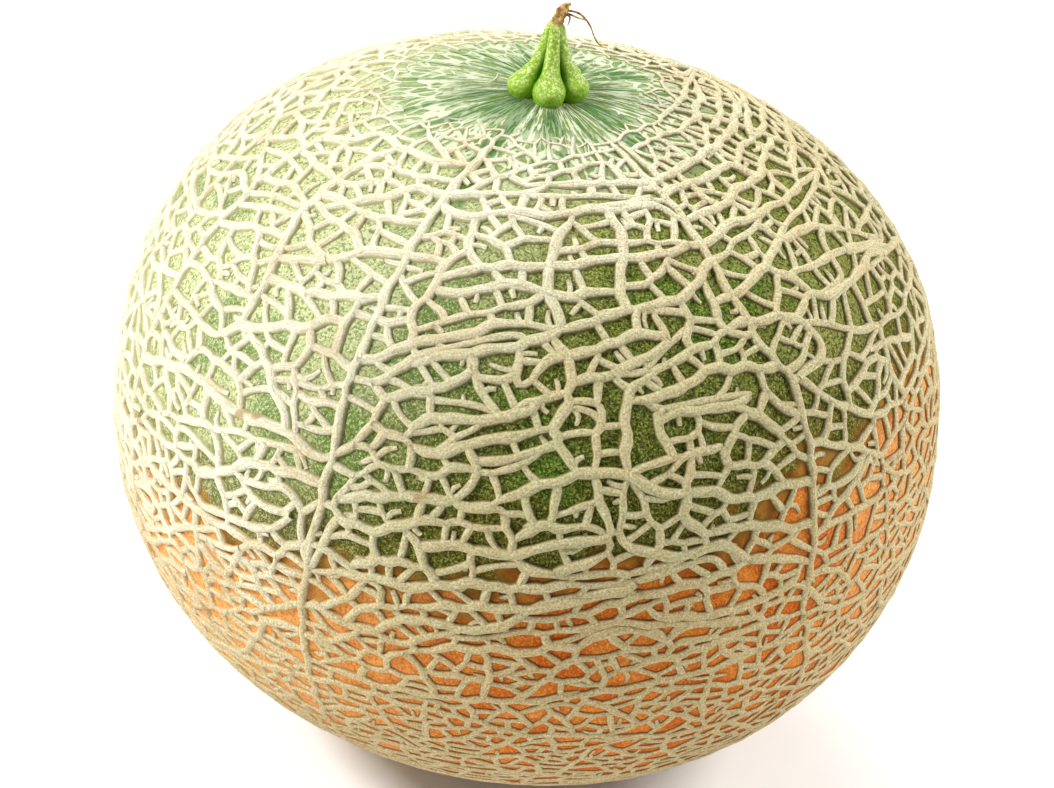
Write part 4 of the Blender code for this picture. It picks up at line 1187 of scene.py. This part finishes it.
def mesh_piece(name, points, faces, mat):
    """A smooth-shaded object from points in millimetres and arrays of faces with equal corner counts."""
    mesh = bpy.data.meshes.new(name)
    points = np.asarray(points, dtype=np.float32) * MM
    sizes = np.concatenate([np.full(len(f), f.shape[1]) for f in faces]).astype(np.int32)
    corners = np.concatenate([f.reshape(-1) for f in faces]).astype(np.int32)
    mesh.vertices.add(len(points))
    mesh.vertices.foreach_set("co", points.reshape(-1))
    mesh.loops.add(len(corners))
    mesh.loops.foreach_set("vertex_index", corners)
    mesh.polygons.add(len(sizes))
    mesh.polygons.foreach_set("loop_start", np.r_[0, np.cumsum(sizes)[:-1]].astype(np.int32))
    mesh.polygons.foreach_set("use_smooth", np.ones(len(sizes), dtype=bool))
    mesh.update(calc_edges=True)
    mesh.validate()
    mesh.materials.append(mat)
    ob = bpy.data.objects.new(name, mesh)
    bpy.context.scene.collection.objects.link(ob)
    print(name, len(points), "points", int((sizes - 2).sum()), "triangles")
    return ob


def stored(ob, name, values, kind):
    """Keeps one number or vector for each point of a piece, for its material to read."""
    layer = ob.data.attributes.new(name, kind, "POINT")
    flat = np.ascontiguousarray(values, dtype=np.float32).reshape(-1)
    layer.data.foreach_set("vector" if kind == "FLOAT_VECTOR" else "value", flat)


# %% [markdown]
# Materials. The rind is green with fine light and dark grains and turns orange toward the side the fruit
# lay on. It is paler toward the upper left and darker in a patch on the front, partly in its own tone and
# partly as painted light and painted shade. Round the stem, where the net lies flat, its pale flakes and the
# dark slits between them are colour and bump on the rind. All of it is worked out from the place on the
# fruit with noise, so nothing has to be painted or unwrapped.

# %% Helpers for materials


def srgb(r, g, b):
    """A colour given in 0 to 255 as a screen shows it, turned into linear light."""
    c = np.array([r, g, b]) / 255
    return tuple(np.where(c <= 0.04045, c / 12.92, ((c + 0.055) / 1.055) ** 2.4)) + (1.0,)


class Finish:
    """A Principled material and short ways to add and join its nodes."""

    def __init__(self, name, roughness, gloss=0.2):
        self.mat = bpy.data.materials.new(name)
        self.mat.use_nodes = True
        self.tree = self.mat.node_tree
        self.shader = self.tree.nodes["Principled BSDF"]
        self.shader.inputs["Roughness"].default_value = roughness
        self.shader.inputs["Specular IOR Level"].default_value = gloss
        self.place = self.node("ShaderNodeTexCoord").outputs["Object"]

    def node(self, kind, **settings):
        n = self.tree.nodes.new(kind)
        for key, value in settings.items():
            setattr(n, key, value)
        return n

    def put(self, socket, value):
        if isinstance(value, bpy.types.NodeSocket):
            self.tree.links.new(value, socket)
        else:
            socket.default_value = value

    def times(self, a, b):
        return self.math("MULTIPLY", a, b)

    def math(self, what, *values):
        n = self.node("ShaderNodeMath", operation=what)
        for socket, value in zip(n.inputs, values):
            self.put(socket, value)
        return n.outputs[0]

    def vector(self, what, *values):
        n = self.node("ShaderNodeVectorMath", operation=what)
        for socket, value in zip(n.inputs, values):
            self.put(socket, value)
        return n.outputs["Value" if what in ("DOT_PRODUCT", "LENGTH") else "Vector"]

    def noise(self, place, scale, detail=2.0, rough=0.5):
        n = self.node("ShaderNodeTexNoise")
        self.put(n.inputs["Vector"], place)
        n.inputs["Scale"].default_value = scale
        n.inputs["Detail"].default_value = detail
        n.inputs["Roughness"].default_value = rough
        return n.outputs["Fac"]

    def blur(self, place, scale):
        n = self.node("ShaderNodeTexNoise")
        self.put(n.inputs["Vector"], place)
        n.inputs["Scale"].default_value = scale
        return n.outputs["Color"]

    def cracks(self, place, scale):
        n = self.node("ShaderNodeTexVoronoi", feature="DISTANCE_TO_EDGE")
        self.put(n.inputs["Vector"], place)
        n.inputs["Scale"].default_value = scale
        return n.outputs["Distance"]

    def stretched(self, place, *scale):
        n = self.node("ShaderNodeMapping")
        self.put(n.inputs["Vector"], place)
        n.inputs["Scale"].default_value = scale
        return n.outputs[0]

    def ramp(self, value, low, high, start=0.0, end=1.0):
        n = self.node("ShaderNodeMapRange", interpolation_type="SMOOTHSTEP")
        for socket, v in zip(n.inputs, (value, low, high, start, end)):
            self.put(socket, v)
        return n.outputs[0]

    def mix(self, share, a, b):
        n = self.node("ShaderNodeMix", data_type="RGBA")
        self.put(n.inputs[0], share)
        self.put(n.inputs[6], a)
        self.put(n.inputs[7], b)
        return n.outputs[2]

    def kept(self, name):
        return self.node("ShaderNodeAttribute", attribute_name=name)

    def bump(self, height, distance, strength=1.0, under=None):
        n = self.node("ShaderNodeBump")
        self.put(n.inputs["Height"], height)
        n.inputs["Distance"].default_value = distance
        n.inputs["Strength"].default_value = strength
        if under is not None:
            self.put(n.inputs["Normal"], under)
        return n.outputs[0]

    def done(self, colour, normal=None):
        self.put(self.shader.inputs["Base Color"], colour)
        if normal is not None:
            self.put(self.shader.inputs["Normal"], normal)
        return self.mat


# %% Rind
RIPE_SIDE = (0.18, 0.125, -1.0)    # the way toward the ripe, orange side
DARK_AND_SHADED_SIDE = (12.0, 8.0)            # longitude and latitude of the darkest, greenest skin, partly painted shade
SEAM_STREAK = -24.0                # longitude of a dark green streak that runs down from the stem


def zones(f):
    """Direction from the centre, its x and z, ripeness blurred with noise, paleness toward the upper left
    that is partly painted light, and a dark patch on the front that is partly painted shade.
    """
    way = f.vector("NORMALIZE", f.vector("SUBTRACT", f.place, (0, 0, LEVEL * MM)))
    axes = f.node("ShaderNodeSeparateXYZ")
    f.put(axes.inputs[0], way)
    x, z = axes.outputs[0], axes.outputs[2]
    ripe = f.vector("DOT_PRODUCT", way, RIPE_SIDE)
    ripe = f.math("ADD", ripe, f.times(f.math("SUBTRACT", f.noise(f.place, 45, 2), 0.5), 0.26))
    ripe = f.math("ADD", ripe, f.times(f.math("SUBTRACT", f.noise(f.place, 170, 1), 0.5), 0.24))
    # Paler toward the top and the left: partly the skin's own paler tone, partly painted light where the
    # strongest lamp falls.
    pale_and_lit = f.math("SUBTRACT", f.times(z, 0.75), f.times(x, 0.9))
    # A darker patch on the front, right of and below the middle: partly darker skin, partly painted shade.
    dark_patch_and_shade = f.ramp(f.vector("DOT_PRODUCT", way, tuple(direction(*DARK_AND_SHADED_SIDE))), 0.6, 0.98)
    return way, x, z, ripe, pale_and_lit, dark_patch_and_shade


def rind_finish():
    f = Finish("rind", 0.6, 0.06)
    way, x, z, ripe, pale_and_lit, dark_patch_and_shade = zones(f)
    green = f.mix(f.ramp(f.noise(f.place, 90, 2), 0.35, 0.65), srgb(104, 112, 34), srgb(136, 140, 72))
    # Partly painted shade: the skin darkens toward the patch on the front.
    green = f.mix(f.times(dark_patch_and_shade, 0.85), green, srgb(70, 78, 8))
    # Lighter, tan skin toward the right: partly its own tone, partly painted light on the right side.
    green = f.mix(f.ramp(x, 0.45, 0.9, 0.0, 0.8), green, srgb(140, 132, 72))
    # Partly painted light: the windows turn pale toward the upper left.
    green = f.mix(f.ramp(pale_and_lit, 0.45, 1.0), green, srgb(190, 196, 146))
    vivid = f.times(f.ramp(f.noise(f.place, 55, 2), 0.53, 0.63), f.ramp(z, 0.85, 0.62))
    green = f.mix(f.times(vivid, 0.8), green, srgb(66, 106, 6))
    green = f.mix(f.ramp(ripe, -0.52, -0.36, 0.0, 0.9), green, srgb(86, 78, 12))
    fleck = f.ramp(f.noise(f.place, 2300, 3, 0.75), 0.5, 0.59)
    grit = f.ramp(f.noise(f.place, 850, 3, 0.75), 0.46, 0.6)
    shade = f.ramp(f.noise(f.place, 1700, 3, 0.75), 0.51, 0.42)
    light_grain = f.mix(f.ramp(pale_and_lit, 0.3, 0.9), srgb(172, 180, 94), srgb(222, 226, 190))
    dark_grain = f.mix(f.ramp(pale_and_lit, 0.3, 0.9), srgb(34, 44, 2), srgb(112, 126, 66))
    green = f.mix(f.times(fleck, 0.6), green, light_grain)
    green = f.mix(f.times(grit, f.ramp(pale_and_lit, 0.45, 1.05, 0.04, 0.4)), green, srgb(206, 208, 158))
    green = f.mix(f.times(shade, 0.85), green, dark_grain)
    around = f.vector("NORMALIZE", f.vector("MULTIPLY", way, (1, 1, 0)))
    far = f.math("SQRT", f.math("SUBTRACT", 1.0, f.times(z, z)))
    rays = []
    for stretch in (0.55, 0.2, 1.3):
        spread = f.node("ShaderNodeCombineXYZ")
        f.put(spread.inputs[2], f.times(far, stretch))
        rays.append(f.vector("ADD", around, spread.outputs[0]))
    near = f.ramp(far, 0.52, 0.34)
    green = f.mix(f.times(near, 0.85), green, srgb(110, 134, 72))
    stripe = f.math("ABSOLUTE", f.math("SUBTRACT", f.noise(rays[1], 2.6, 2, 0.5), 0.5))
    stripe = f.times(f.ramp(stripe, 0.035, 0.015), f.ramp(far, 0.46, 0.3))
    patch = f.times(f.ramp(f.noise(rays[1], 4.0, 3, 0.6), 0.47, 0.53), f.ramp(far, 0.3, 0.18))
    line = f.ramp(f.vector("DOT_PRODUCT", around, tuple(direction(SEAM_STREAK, 0.0))), 0.9965, 0.999)
    line = f.times(line, f.ramp(far, 0.62, 0.5))
    dark = f.math("MAXIMUM", f.math("MAXIMUM", stripe, patch), line)
    green = f.mix(f.times(dark, 0.9), green, srgb(62, 104, 46))
    flake = f.ramp(f.noise(rays[0], 30, 3, 0.6), 0.475, 0.53)
    bent = f.vector("MULTIPLY_ADD", f.blur(f.place, 160), (0.12, 0.12, 0.12), rays[2])
    thin = f.times(f.math("SUBTRACT", f.noise(f.place, 260, 2), 0.5), 0.24)
    wider = f.ramp(f.math("ADD", f.cracks(bent, 12), thin), 0.15, 0.08)
    flake = f.mix(f.ramp(far, 0.2, 0.3), flake, f.math("MAXIMUM", f.times(flake, 0.3), wider))
    bare = f.math("SUBTRACT", 1.0, f.times(dark, 0.7))
    flake = f.times(f.times(flake, near), bare)
    green = f.mix(f.times(flake, 0.85), green, srgb(206, 212, 182))
    brown = f.mix(f.ramp(f.noise(f.place, 200, 2), 0.3, 0.7), srgb(112, 66, 10), srgb(156, 112, 44))
    orange = f.mix(f.ramp(f.noise(f.place, 120, 2), 0.3, 0.7), srgb(186, 84, 10), srgb(212, 128, 46))
    # Paler orange on the left and at the right edge: partly its own tone, partly painted light from the side
    # lamps.
    orange = f.mix(f.ramp(x, 0.1, -0.7), orange, srgb(226, 160, 88))
    orange = f.mix(f.ramp(x, 0.6, 0.95, 0.0, 0.7), orange, srgb(224, 172, 106))
    orange = f.mix(f.times(fleck, 0.35), orange, srgb(234, 178, 104))
    orange = f.mix(f.times(shade, 0.5), orange, srgb(150, 66, 4))
    colour = f.mix(f.ramp(ripe, -0.32, -0.24), green, brown)
    colour = f.mix(f.ramp(ripe, -0.26, -0.16), colour, orange)
    pits = f.bump(f.noise(f.place, 1100, 4, 0.7), 0.0006)
    swell = f.bump(f.noise(f.place, 260, 2), 0.0009, 0.6, pits)
    return f.done(colour, f.bump(flake, 0.0004, 0.8, swell))


# %% [markdown]
# The cork of the net is matte and pale, built of fine fibres that run along each ridge, with crumbs and a
# few brown stains. Its foot is painted darker, as the shade where a ridge meets the skin, less so on the lit
# left, so the sweep stores how far each point lies from the middle of its ridge.

# %% Cork


def cork_finish():
    f = Finish("cork", 0.8, 0.1)
    _, x, z, ripe, pale_and_lit, dark_patch_and_shade = zones(f)
    grain = f.kept("grain").outputs["Vector"]
    foot = f.kept("foot").outputs["Fac"]
    tone = f.kept("tone").outputs["Fac"]
    # Lighter cream toward the upper left: partly its own tone, partly painted light.
    cream = f.mix(f.ramp(pale_and_lit, -0.1, 0.75), srgb(216, 206, 164), srgb(236, 233, 208))
    # Partly painted shade: the cream darkens toward the patch on the front.
    cream = f.mix(f.times(dark_patch_and_shade, 0.9), cream, srgb(190, 183, 138))
    cream = f.mix(f.ramp(f.noise(f.place, 80, 2), 0.4, 0.75, 0.0, 0.5), cream, srgb(212, 188, 146))
    cream = f.mix(f.ramp(ripe, -0.3, -0.05, 0.0, 0.6), cream, srgb(204, 174, 122))
    stain = f.times(f.ramp(f.noise(f.place, 130, 2), 0.66, 0.74), f.ramp(tone, 0.6, 0.62))
    cream = f.mix(f.times(stain, 0.8), cream, srgb(172, 134, 88))
    fibres = f.noise(f.stretched(grain, 0.35, 4.5, 1.0), 1.0, 3, 0.65)
    crumbs = f.noise(f.place, 2500, 3, 0.75)
    cream = f.mix(f.ramp(fibres, 0.58, 0.36, 0.0, 0.45), cream, srgb(170, 156, 104))
    cream = f.mix(f.times(f.ramp(crumbs, 0.5, 0.38), f.ramp(pale_and_lit, 0.3, 0.9, 0.65, 0.25)), cream,
                  srgb(140, 128, 76))
    cream = f.mix(f.ramp(crumbs, 0.54, 0.68, 0.0, 0.45), cream, srgb(250, 247, 228))
    # Painted shade at the foot of each ridge: dark olive, orange-brown on the ripe side, lighter toward the
    # upper and lower left where more light falls.
    foot_shade = f.mix(f.ramp(pale_and_lit, 0.3, 0.95), srgb(88, 80, 22), srgb(184, 180, 128))
    foot_shade = f.mix(f.ramp(ripe, -0.32, -0.1), foot_shade, srgb(132, 74, 18))
    foot_shade = f.mix(f.times(f.ramp(x, -0.1, -0.7), f.ramp(z, 0.3, -0.1)), foot_shade, srgb(200, 160, 98))
    cream = f.mix(f.ramp(foot, 0.7, 1.05), cream, foot_shade)
    normal = f.bump(crumbs, 0.0004, 1.0, f.bump(fibres, 0.0003, 0.9))
    return f.done(cream, normal)


rind_mat = rind_finish()
cork_mat = cork_finish()

# %% [markdown]
# The rind itself is one closed surface on a grid of turns and heights, a little below the net. It is flat
# where the fruit stands, and a single point closes it at the crown and at the foot.

# %% The rind surface
TURNS, TILTS = 330, 190


def rind_surface(mat):
    """Point at turn u and tilt v: the direction there times the rind's radius, held above the floor."""
    u = np.radians(np.linspace(0, 360, TURNS, endpoint=False))
    v = np.radians(np.linspace(90, -90, TILTS + 2)[1:-1, None])
    d = np.stack([np.sin(u) * np.cos(v), -np.cos(u) * np.cos(v), np.sin(v) + 0 * u], -1)
    points = (d * skin_radius(d)[..., None]).reshape(-1, 3)
    poles = [[0, 0, skin_radius(direction(0.0, 90.0))], [0, 0, -skin_radius(direction(0.0, -90.0))]]
    points = np.concatenate([points, poles]) + [0, 0, LEVEL]
    points[:, 2] = np.maximum(points[:, 2], 0)
    index = np.arange(TILTS * TURNS).reshape(TILTS, TURNS)
    right = np.roll(index, -1, 1)
    quads = np.stack([index[:-1], index[1:], right[1:], right[:-1]], -1).reshape(-1, 4)
    top = np.stack([np.full(TURNS, TILTS * TURNS), index[0], right[0]], -1)
    foot = np.stack([np.full(TURNS, TILTS * TURNS + 1), right[-1], index[-1]], -1)
    return mesh_piece("rind", points, [quads, top, foot], mat)


rind = rind_surface(rind_mat)

# %% Lay the net on it
BANDS = ("net_foot", "net_belly", "net_shoulder", "net_crown")   # from the floor up
CROWN_SIZE, CROWN_EDGE = 0.3, (-2, 14)       # share of a ridge's size at the bare crown, start and span
RIPE_EDGE = (-0.25, 0.4)                     # cosine to the ripe side where its loss starts, and span
NET_LOSS, SPUR_LOSS = (0.08, 0.5), (0.3, 0.45)    # share of width and height lost on the ripe side
SPUR_STEP = 0.9


def profile_of(ages, table):
    """A value of the table for each corner of each path: the mean of the two ridge pieces beside it."""
    values = [np.array(table)[age] for age in ages]
    return [np.r_[v[:1], (v[1:] + v[:-1]) / 2, v[-1:]] for v in values]


def calmer(paths, values, loss):
    """The values, less near the crown where the net lies flat, and less by a loss on the ripe side."""
    (edge, span), (ripe_edge, ripe_span) = CROWN_EDGE, RIPE_EDGE
    lows = [CROWN_SIZE + (1 - CROWN_SIZE) * smooth((below_crown(path) - edge) / span) for path in paths]
    ripes = [smooth((path @ RIPE_SIDE - ripe_edge) / ripe_span) for path in paths]
    return [value * low * (1 - loss * ripe) for value, low, ripe in zip(values, lows, ripes)]


widths = calmer(paths, profile_of(ages, HALF_WIDTHS), NET_LOSS[0])
heights = calmer(paths, profile_of(ages, HEIGHTS), NET_LOSS[1])
order = np.argsort([path[:, 2].mean() for path in paths])
share = np.cumsum([len(paths[k]) for k in order]) / sum(map(len, paths))
pieces = []
for n, name in enumerate(BANDS):
    picked = order[(share > n / len(BANDS)) & (share <= (n + 1) / len(BANDS))]
    chosen = [[group[k] for k in picked] for group in (paths, widths, heights)]
    pieces.append(ropes(name, *chosen, cork_mat, n + 1))

# %% Lay the spurs
spur_widths = calmer(spurs, [np.array(SPUR_WIDTHS)] * len(spurs), SPUR_LOSS[0])
spur_heights = calmer(spurs, [np.array(SPUR_HEIGHTS)] * len(spurs), SPUR_LOSS[1])
pieces.append(ropes("spurs", spurs, spur_widths, spur_heights, cork_mat, len(BANDS) + 1, SPUR_STEP))

# %% [markdown]
# The stem has five rounded ribs that swell to round toes where they sit on the crown. At each height a rib
# is a circle beside the axis, and the skin's radius is the far side of that circle, or the trunk between
# ribs.

# %% Stem
RIB_SIZES = (1.0, 0.98, 1.0, 0.95, 1.05)   # each rib's size, from the front one round by the right
STEM_PROFILE = np.array([                  # height over the crown, a rib's reach and roundness, the trunk
    (-1.4, 4.3, 2.3, 3.2), (0.0, 4.6, 2.8, 3.3), (1.3, 4.65, 3.05, 3.2), (2.3, 4.45, 2.95, 3.0),
    (3.2, 4.0, 2.45, 2.7), (4.2, 3.4, 1.9, 2.3), (5.4, 2.75, 1.6, 1.9), (7.2, 2.1, 1.4, 1.5),
    (9.4, 1.55, 1.2, 1.2), (11.5, 1.1, 1.1, 1.1), (13.0, 0.8, 0.95, 1.0), (13.7, 0.4, 0.7, 0.8),
])
STEM_LEAN, STEM_CAP = 0.03, 0.25
RIBS_EVEN, RIBS_SPAN = 8, 5                # height from which all ribs have one size, and the change below
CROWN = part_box("stem")[0][2] / MM
STEM_ROWS, STEM_COLUMNS = 100, 240


def stem_surface(mat):
    """Radius = reach cos(off) + sqrt(round^2 - reach^2 sin(off)^2) on a rib, the trunk's elsewhere."""
    height = np.linspace(STEM_PROFILE[0, 0], STEM_PROFILE[-1, 0], STEM_ROWS)
    reach, round_, trunk = (soft_through(STEM_PROFILE[:, 0], column, height)[:, None]
                            for column in STEM_PROFILE.T[1:])
    turn = 2 * np.pi * np.arange(STEM_COLUMNS) / STEM_COLUMNS
    lobe = 2 * np.pi / len(RIB_SIZES)
    off = (turn + lobe / 2) % lobe - lobe / 2
    size = np.array(RIB_SIZES)[np.floor((turn + lobe / 2) / lobe).astype(int) % len(RIB_SIZES)]
    size = 1 + (size - 1) * smooth((RIBS_EVEN - height[:, None]) / RIBS_SPAN)
    rib = 1 - (reach * np.sin(off) / round_) ** 2
    far_side = reach * np.cos(off) + round_ * np.sqrt(np.clip(rib, 0, 1))
    radius = np.where(rib > 0, np.maximum(far_side * size, trunk), trunk)
    x = radius * np.sin(turn) + STEM_LEAN * height[:, None]
    y = -radius * np.cos(turn)
    z = CROWN + height[:, None] + 0 * turn
    points = np.stack([x, y, z], -1).reshape(-1, 3)
    tops = z[0, 0], z[-1, 0] + STEM_CAP
    ends = np.array([[STEM_LEAN * height[0], 0, tops[0]], [STEM_LEAN * height[-1], 0, tops[1]]])
    index = np.arange(STEM_ROWS * STEM_COLUMNS).reshape(STEM_ROWS, STEM_COLUMNS)
    right = np.roll(index, -1, 1)
    quads = np.stack([index[:-1], right[:-1], right[1:], index[1:]], -1).reshape(-1, 4)
    low = np.stack([np.full(STEM_COLUMNS, len(points)), right[0], index[0]], -1)
    high = np.stack([np.full(STEM_COLUMNS, len(points) + 1), index[-1], right[-1]], -1)
    ob = mesh_piece("stem_skin", np.concatenate([points, ends]), [quads, low, high], mat)
    crest = np.sqrt(np.clip(rib, 0, 1)) * (radius > trunk)
    stored(ob, "rib", np.r_[crest.reshape(-1), 0, 1], "FLOAT")
    stored(ob, "up", np.r_[(height[:, None] + 0 * turn).reshape(-1), height[0], height[-1]], "FLOAT")
    return ob


def soft_through(x, y, at):
    """A smooth line through places (x, y): cubic pieces with the slope of the neighbours."""
    slope = np.gradient(y, x)
    k = np.clip(np.searchsorted(x, at, "right") - 1, 0, len(x) - 2)
    h = x[k + 1] - x[k]
    t = (at - x[k]) / h
    return ((2 * t**3 - 3 * t**2 + 1) * y[k] + (t**3 - 2 * t**2 + t) * h * slope[k]
            + (-2 * t**3 + 3 * t**2) * y[k + 1] + (t**3 - t**2) * h * slope[k + 1])


def stem_finish():
    f = Finish("stem_green", 0.5, 0.2)
    rib = f.kept("rib").outputs["Fac"]
    up = f.kept("up").outputs["Fac"]
    # Darker, deeper green between the ribs: partly the stem's own colour, partly painted shade in the
    # grooves.
    green = f.mix(f.ramp(rib, 0.3, 0.9), srgb(72, 126, 0), srgb(126, 162, 30))
    green = f.mix(f.ramp(up, 2.6, 0.6, 0.0, 0.8), green, srgb(112, 158, 4))
    downy = f.ramp(f.noise(f.place, 1700, 3, 0.75), 0.47, 0.58)
    frost = f.times(f.ramp(rib, 0.5, 0.95, 0.0, 0.75), f.ramp(up, 0.8, 3.4, 0.25, 1.0))
    green = f.mix(f.times(downy, frost), green, srgb(206, 216, 150))
    green = f.mix(f.ramp(up, 12.6, 13.7, 0.0, 0.7), green, srgb(176, 164, 90))
    normal = f.bump(f.noise(f.place, 1400, 3, 0.6), 0.0004, 0.9)
    return f.done(green, normal)


stem = stem_surface(stem_finish())

# %% [markdown]
# Where the stem was cut it has dried to a brown, shrivelled end with a few stiff threads. Each is a tube
# along a smooth route, and the thick one is dented by a wave that turns as it climbs.

# %% Dried tip
TIP_BODY = np.array([                      # x, y, height over the crown, radius
    (0.35, 0.0, 13.0, 0.95), (0.55, 0.0, 13.6, 1.05), (0.8, 0.0, 14.3, 1.15), (1.2, -0.1, 15.0, 1.0),
    (1.6, 0.0, 15.8, 1.1), (1.9, 0.1, 16.5, 0.8), (2.3, 0.1, 17.0, 0.5), (2.9, 0.0, 17.35, 0.3),
])
THREAD_RADIUS, THREAD_TAPER = 0.24, 0.6
TIP_THREADS = (                            # x, y, height over the crown
    ((1.7, 0.0, 15.9), (2.8, 0.1, 15.9), (4.45, 0.3, 15.45), (5.85, 0.4, 14.3), (6.7, 0.4, 13.1),
     (7.6, 0.3, 11.1), (8.5, 0.2, 9.7), (9.1, 0.0, 9.45), (9.7, -0.3, 9.9)),
    ((1.6, -0.2, 15.5), (2.95, -0.4, 15.4), (4.3, -0.2, 14.75), (5.5, 0.2, 14.3), (6.1, 0.4, 14.0)),
    ((1.7, -0.5, 15.5), (2.9, -0.8, 15.1), (2.85, -0.9, 14.2), (2.6, -0.9, 13.4)),
)


def tube(name, route, radii, mat, rows, columns, dents=0.0, taper=1.0):
    """Rings square to a smooth route; ring radius = r * (1 + dents * waves), drawn in toward the end."""
    route = np.array(route, float)
    at = np.r_[0, np.cumsum(np.linalg.norm(np.diff(route, axis=0), axis=1))]
    s = np.linspace(0, at[-1], rows)
    p = np.stack([soft_through(at, axis, s) for axis in route.T], -1) + [0, 0, CROWN]
    r = soft_through(at, np.array(radii, float), s) * (1 + (taper - 1) * smooth(s / at[-1]))
    ahead = unit(np.gradient(p, axis=0))
    e = unit(np.cross(np.array([0.0, 1.0, 0.0]), ahead))
    f = np.cross(ahead, e)
    turn = 2 * np.pi * np.arange(columns) / columns
    wave = 1 + dents * (np.sin(3 * turn + 1.7 * s[:, None]) + 0.6 * np.sin(5 * turn - 2.6 * s[:, None]))
    ring = (r[:, None] * wave)[..., None]
    points = p[:, None] + ring * (np.cos(turn)[:, None] * e[:, None] + np.sin(turn)[:, None] * f[:, None])
    index = np.arange(rows * columns).reshape(rows, columns)
    right = np.roll(index, -1, 1)
    quads = np.stack([index[:-1], right[:-1], right[1:], index[1:]], -1).reshape(-1, 4)
    low = np.stack([np.full(columns, rows * columns), right[0], index[0]], -1)
    high = np.stack([np.full(columns, rows * columns + 1), index[-1], right[-1]], -1)
    ends = np.array([p[0], p[-1] + ahead[-1] * r[-1] * 0.6])
    return mesh_piece(name, np.concatenate([points.reshape(-1, 3), ends]), [quads, low, high], mat)


def dry_finish():
    f = Finish("dry_brown", 0.85)
    colour = f.mix(f.ramp(f.noise(f.place, 700, 3), 0.35, 0.65), srgb(122, 84, 40), srgb(196, 160, 100))
    colour = f.mix(f.ramp(f.noise(f.place, 1500, 2), 0.55, 0.7, 0.0, 0.8), colour, srgb(72, 44, 22))
    return f.done(colour, f.bump(f.noise(f.place, 2500, 3), 0.0003))


dry_mat = dry_finish()
tip = [tube("dried_end", TIP_BODY[:, :3], TIP_BODY[:, 3], dry_mat, 60, 36, 0.13)]
for n, route in enumerate(TIP_THREADS):
    tip.append(tube(f"thread_{n}", route, [THREAD_RADIUS] * len(route), dry_mat, 50, 12, 0.1, THREAD_TAPER))

# %% [markdown]
# Each piece rides on the fruit's one body and stands for the plain solid that it covers, which is hidden.

# %% Tie the pieces to the frame
for piece in [rind] + pieces:
    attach(piece, "root")
    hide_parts("melon_body")
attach(stem, "root")
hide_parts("stem")
for piece in tip:
    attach(piece, "root")
    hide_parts("dried_tip")

# %% [markdown]
# The floor is plain and pale. Large soft lamps stand round the fruit as in a product studio, the strongest
# one above and to the left, so the lower edges of the ridges keep a thin shade.

# %% Floor and light
FLOOR_REACH, FLOOR_WHITE = 6.0, 0.92
LAMPS = (                                  # name, place in metres, watts, size
    ("key", (-0.8, -0.2, 0.8), 15.0, 0.32),
    ("right", (0.85, 0.1, 0.7), 12.0, 0.5),
    ("low_left", (-0.8, -0.7, 0.1), 2.5, 0.4),
    ("back", (-0.1, 0.8, 0.8), 6.0, 0.6),
)
LIT_PLACE = (0, 0, 0.07)
SURROUND = 0.35                            # light from all sides


def floor():
    """A wide level plate that only stages the fruit."""
    mesh = bpy.data.meshes.new("floor")
    corners = [(FLOOR_REACH * x, FLOOR_REACH * y, 0) for x, y in ((-1, -1), (1, -1), (1, 1), (-1, 1))]
    mesh.from_pydata(corners, [], [(0, 1, 2, 3)])
    ob = bpy.data.objects.new("floor", mesh)
    bpy.context.scene.collection.objects.link(ob)
    f = Finish("white_floor", 0.7)
    mesh.materials.append(f.done((FLOOR_WHITE, FLOOR_WHITE, FLOOR_WHITE, 1)))


def lamp(name, place, power, size):
    """A round soft lamp that looks at the fruit."""
    data = bpy.data.lights.new(name, "AREA")
    data.shape, data.size, data.energy = "DISK", size, power
    ob = bpy.data.objects.new(name, data)
    ob.location = place
    ob.rotation_euler = (Vector(LIT_PLACE) - Vector(place)).to_track_quat("-Z", "Y").to_euler()
    bpy.context.scene.collection.objects.link(ob)


floor()
for settings in LAMPS:
    lamp(*settings)
world = bpy.data.worlds.new("studio")
world.use_nodes = True
world.node_tree.nodes["Background"].inputs[0].default_value = (1, 1, 1, 1)
world.node_tree.nodes["Background"].inputs[1].default_value = SURROUND
bpy.context.scene.world = world
bpy.context.scene.view_settings.view_transform = "Standard"

# %% [markdown]
# The camera looks down at the fruit from 30 degrees above and is turned a little, which was found by
# matching the fruit's outline and the stem. A long lens keeps the sides from bulging.

# %% Camera


def camera():
    """A long lens at the place that the photo was taken from, turned and shifted as it was."""
    data = bpy.data.cameras.new("camera")
    data.sensor_width = 36.0
    data.lens = FOCAL / IMAGE_SIZE[0] * data.sensor_width
    data.shift_x = (IMAGE_SIZE[0] / 2 - CENTRE_PIXEL[0]) / IMAGE_SIZE[0]
    data.shift_y = (CENTRE_PIXEL[1] - IMAGE_SIZE[1] / 2) / IMAGE_SIZE[0]
    data.clip_start, data.clip_end = 0.01, 20
    ob = bpy.data.objects.new("camera", data)
    look = Vector(EYE).to_track_quat("Z", "Y").to_matrix().to_4x4()
    turn = look @ Matrix.Rotation(math.radians(ROLL), 4, "Z")
    ob.matrix_world = Matrix.Translation(Vector(EYE + [0, 0, LEVEL]) * MM) @ turn
    bpy.context.scene.collection.objects.link(ob)
    bpy.context.scene.camera = ob


camera()
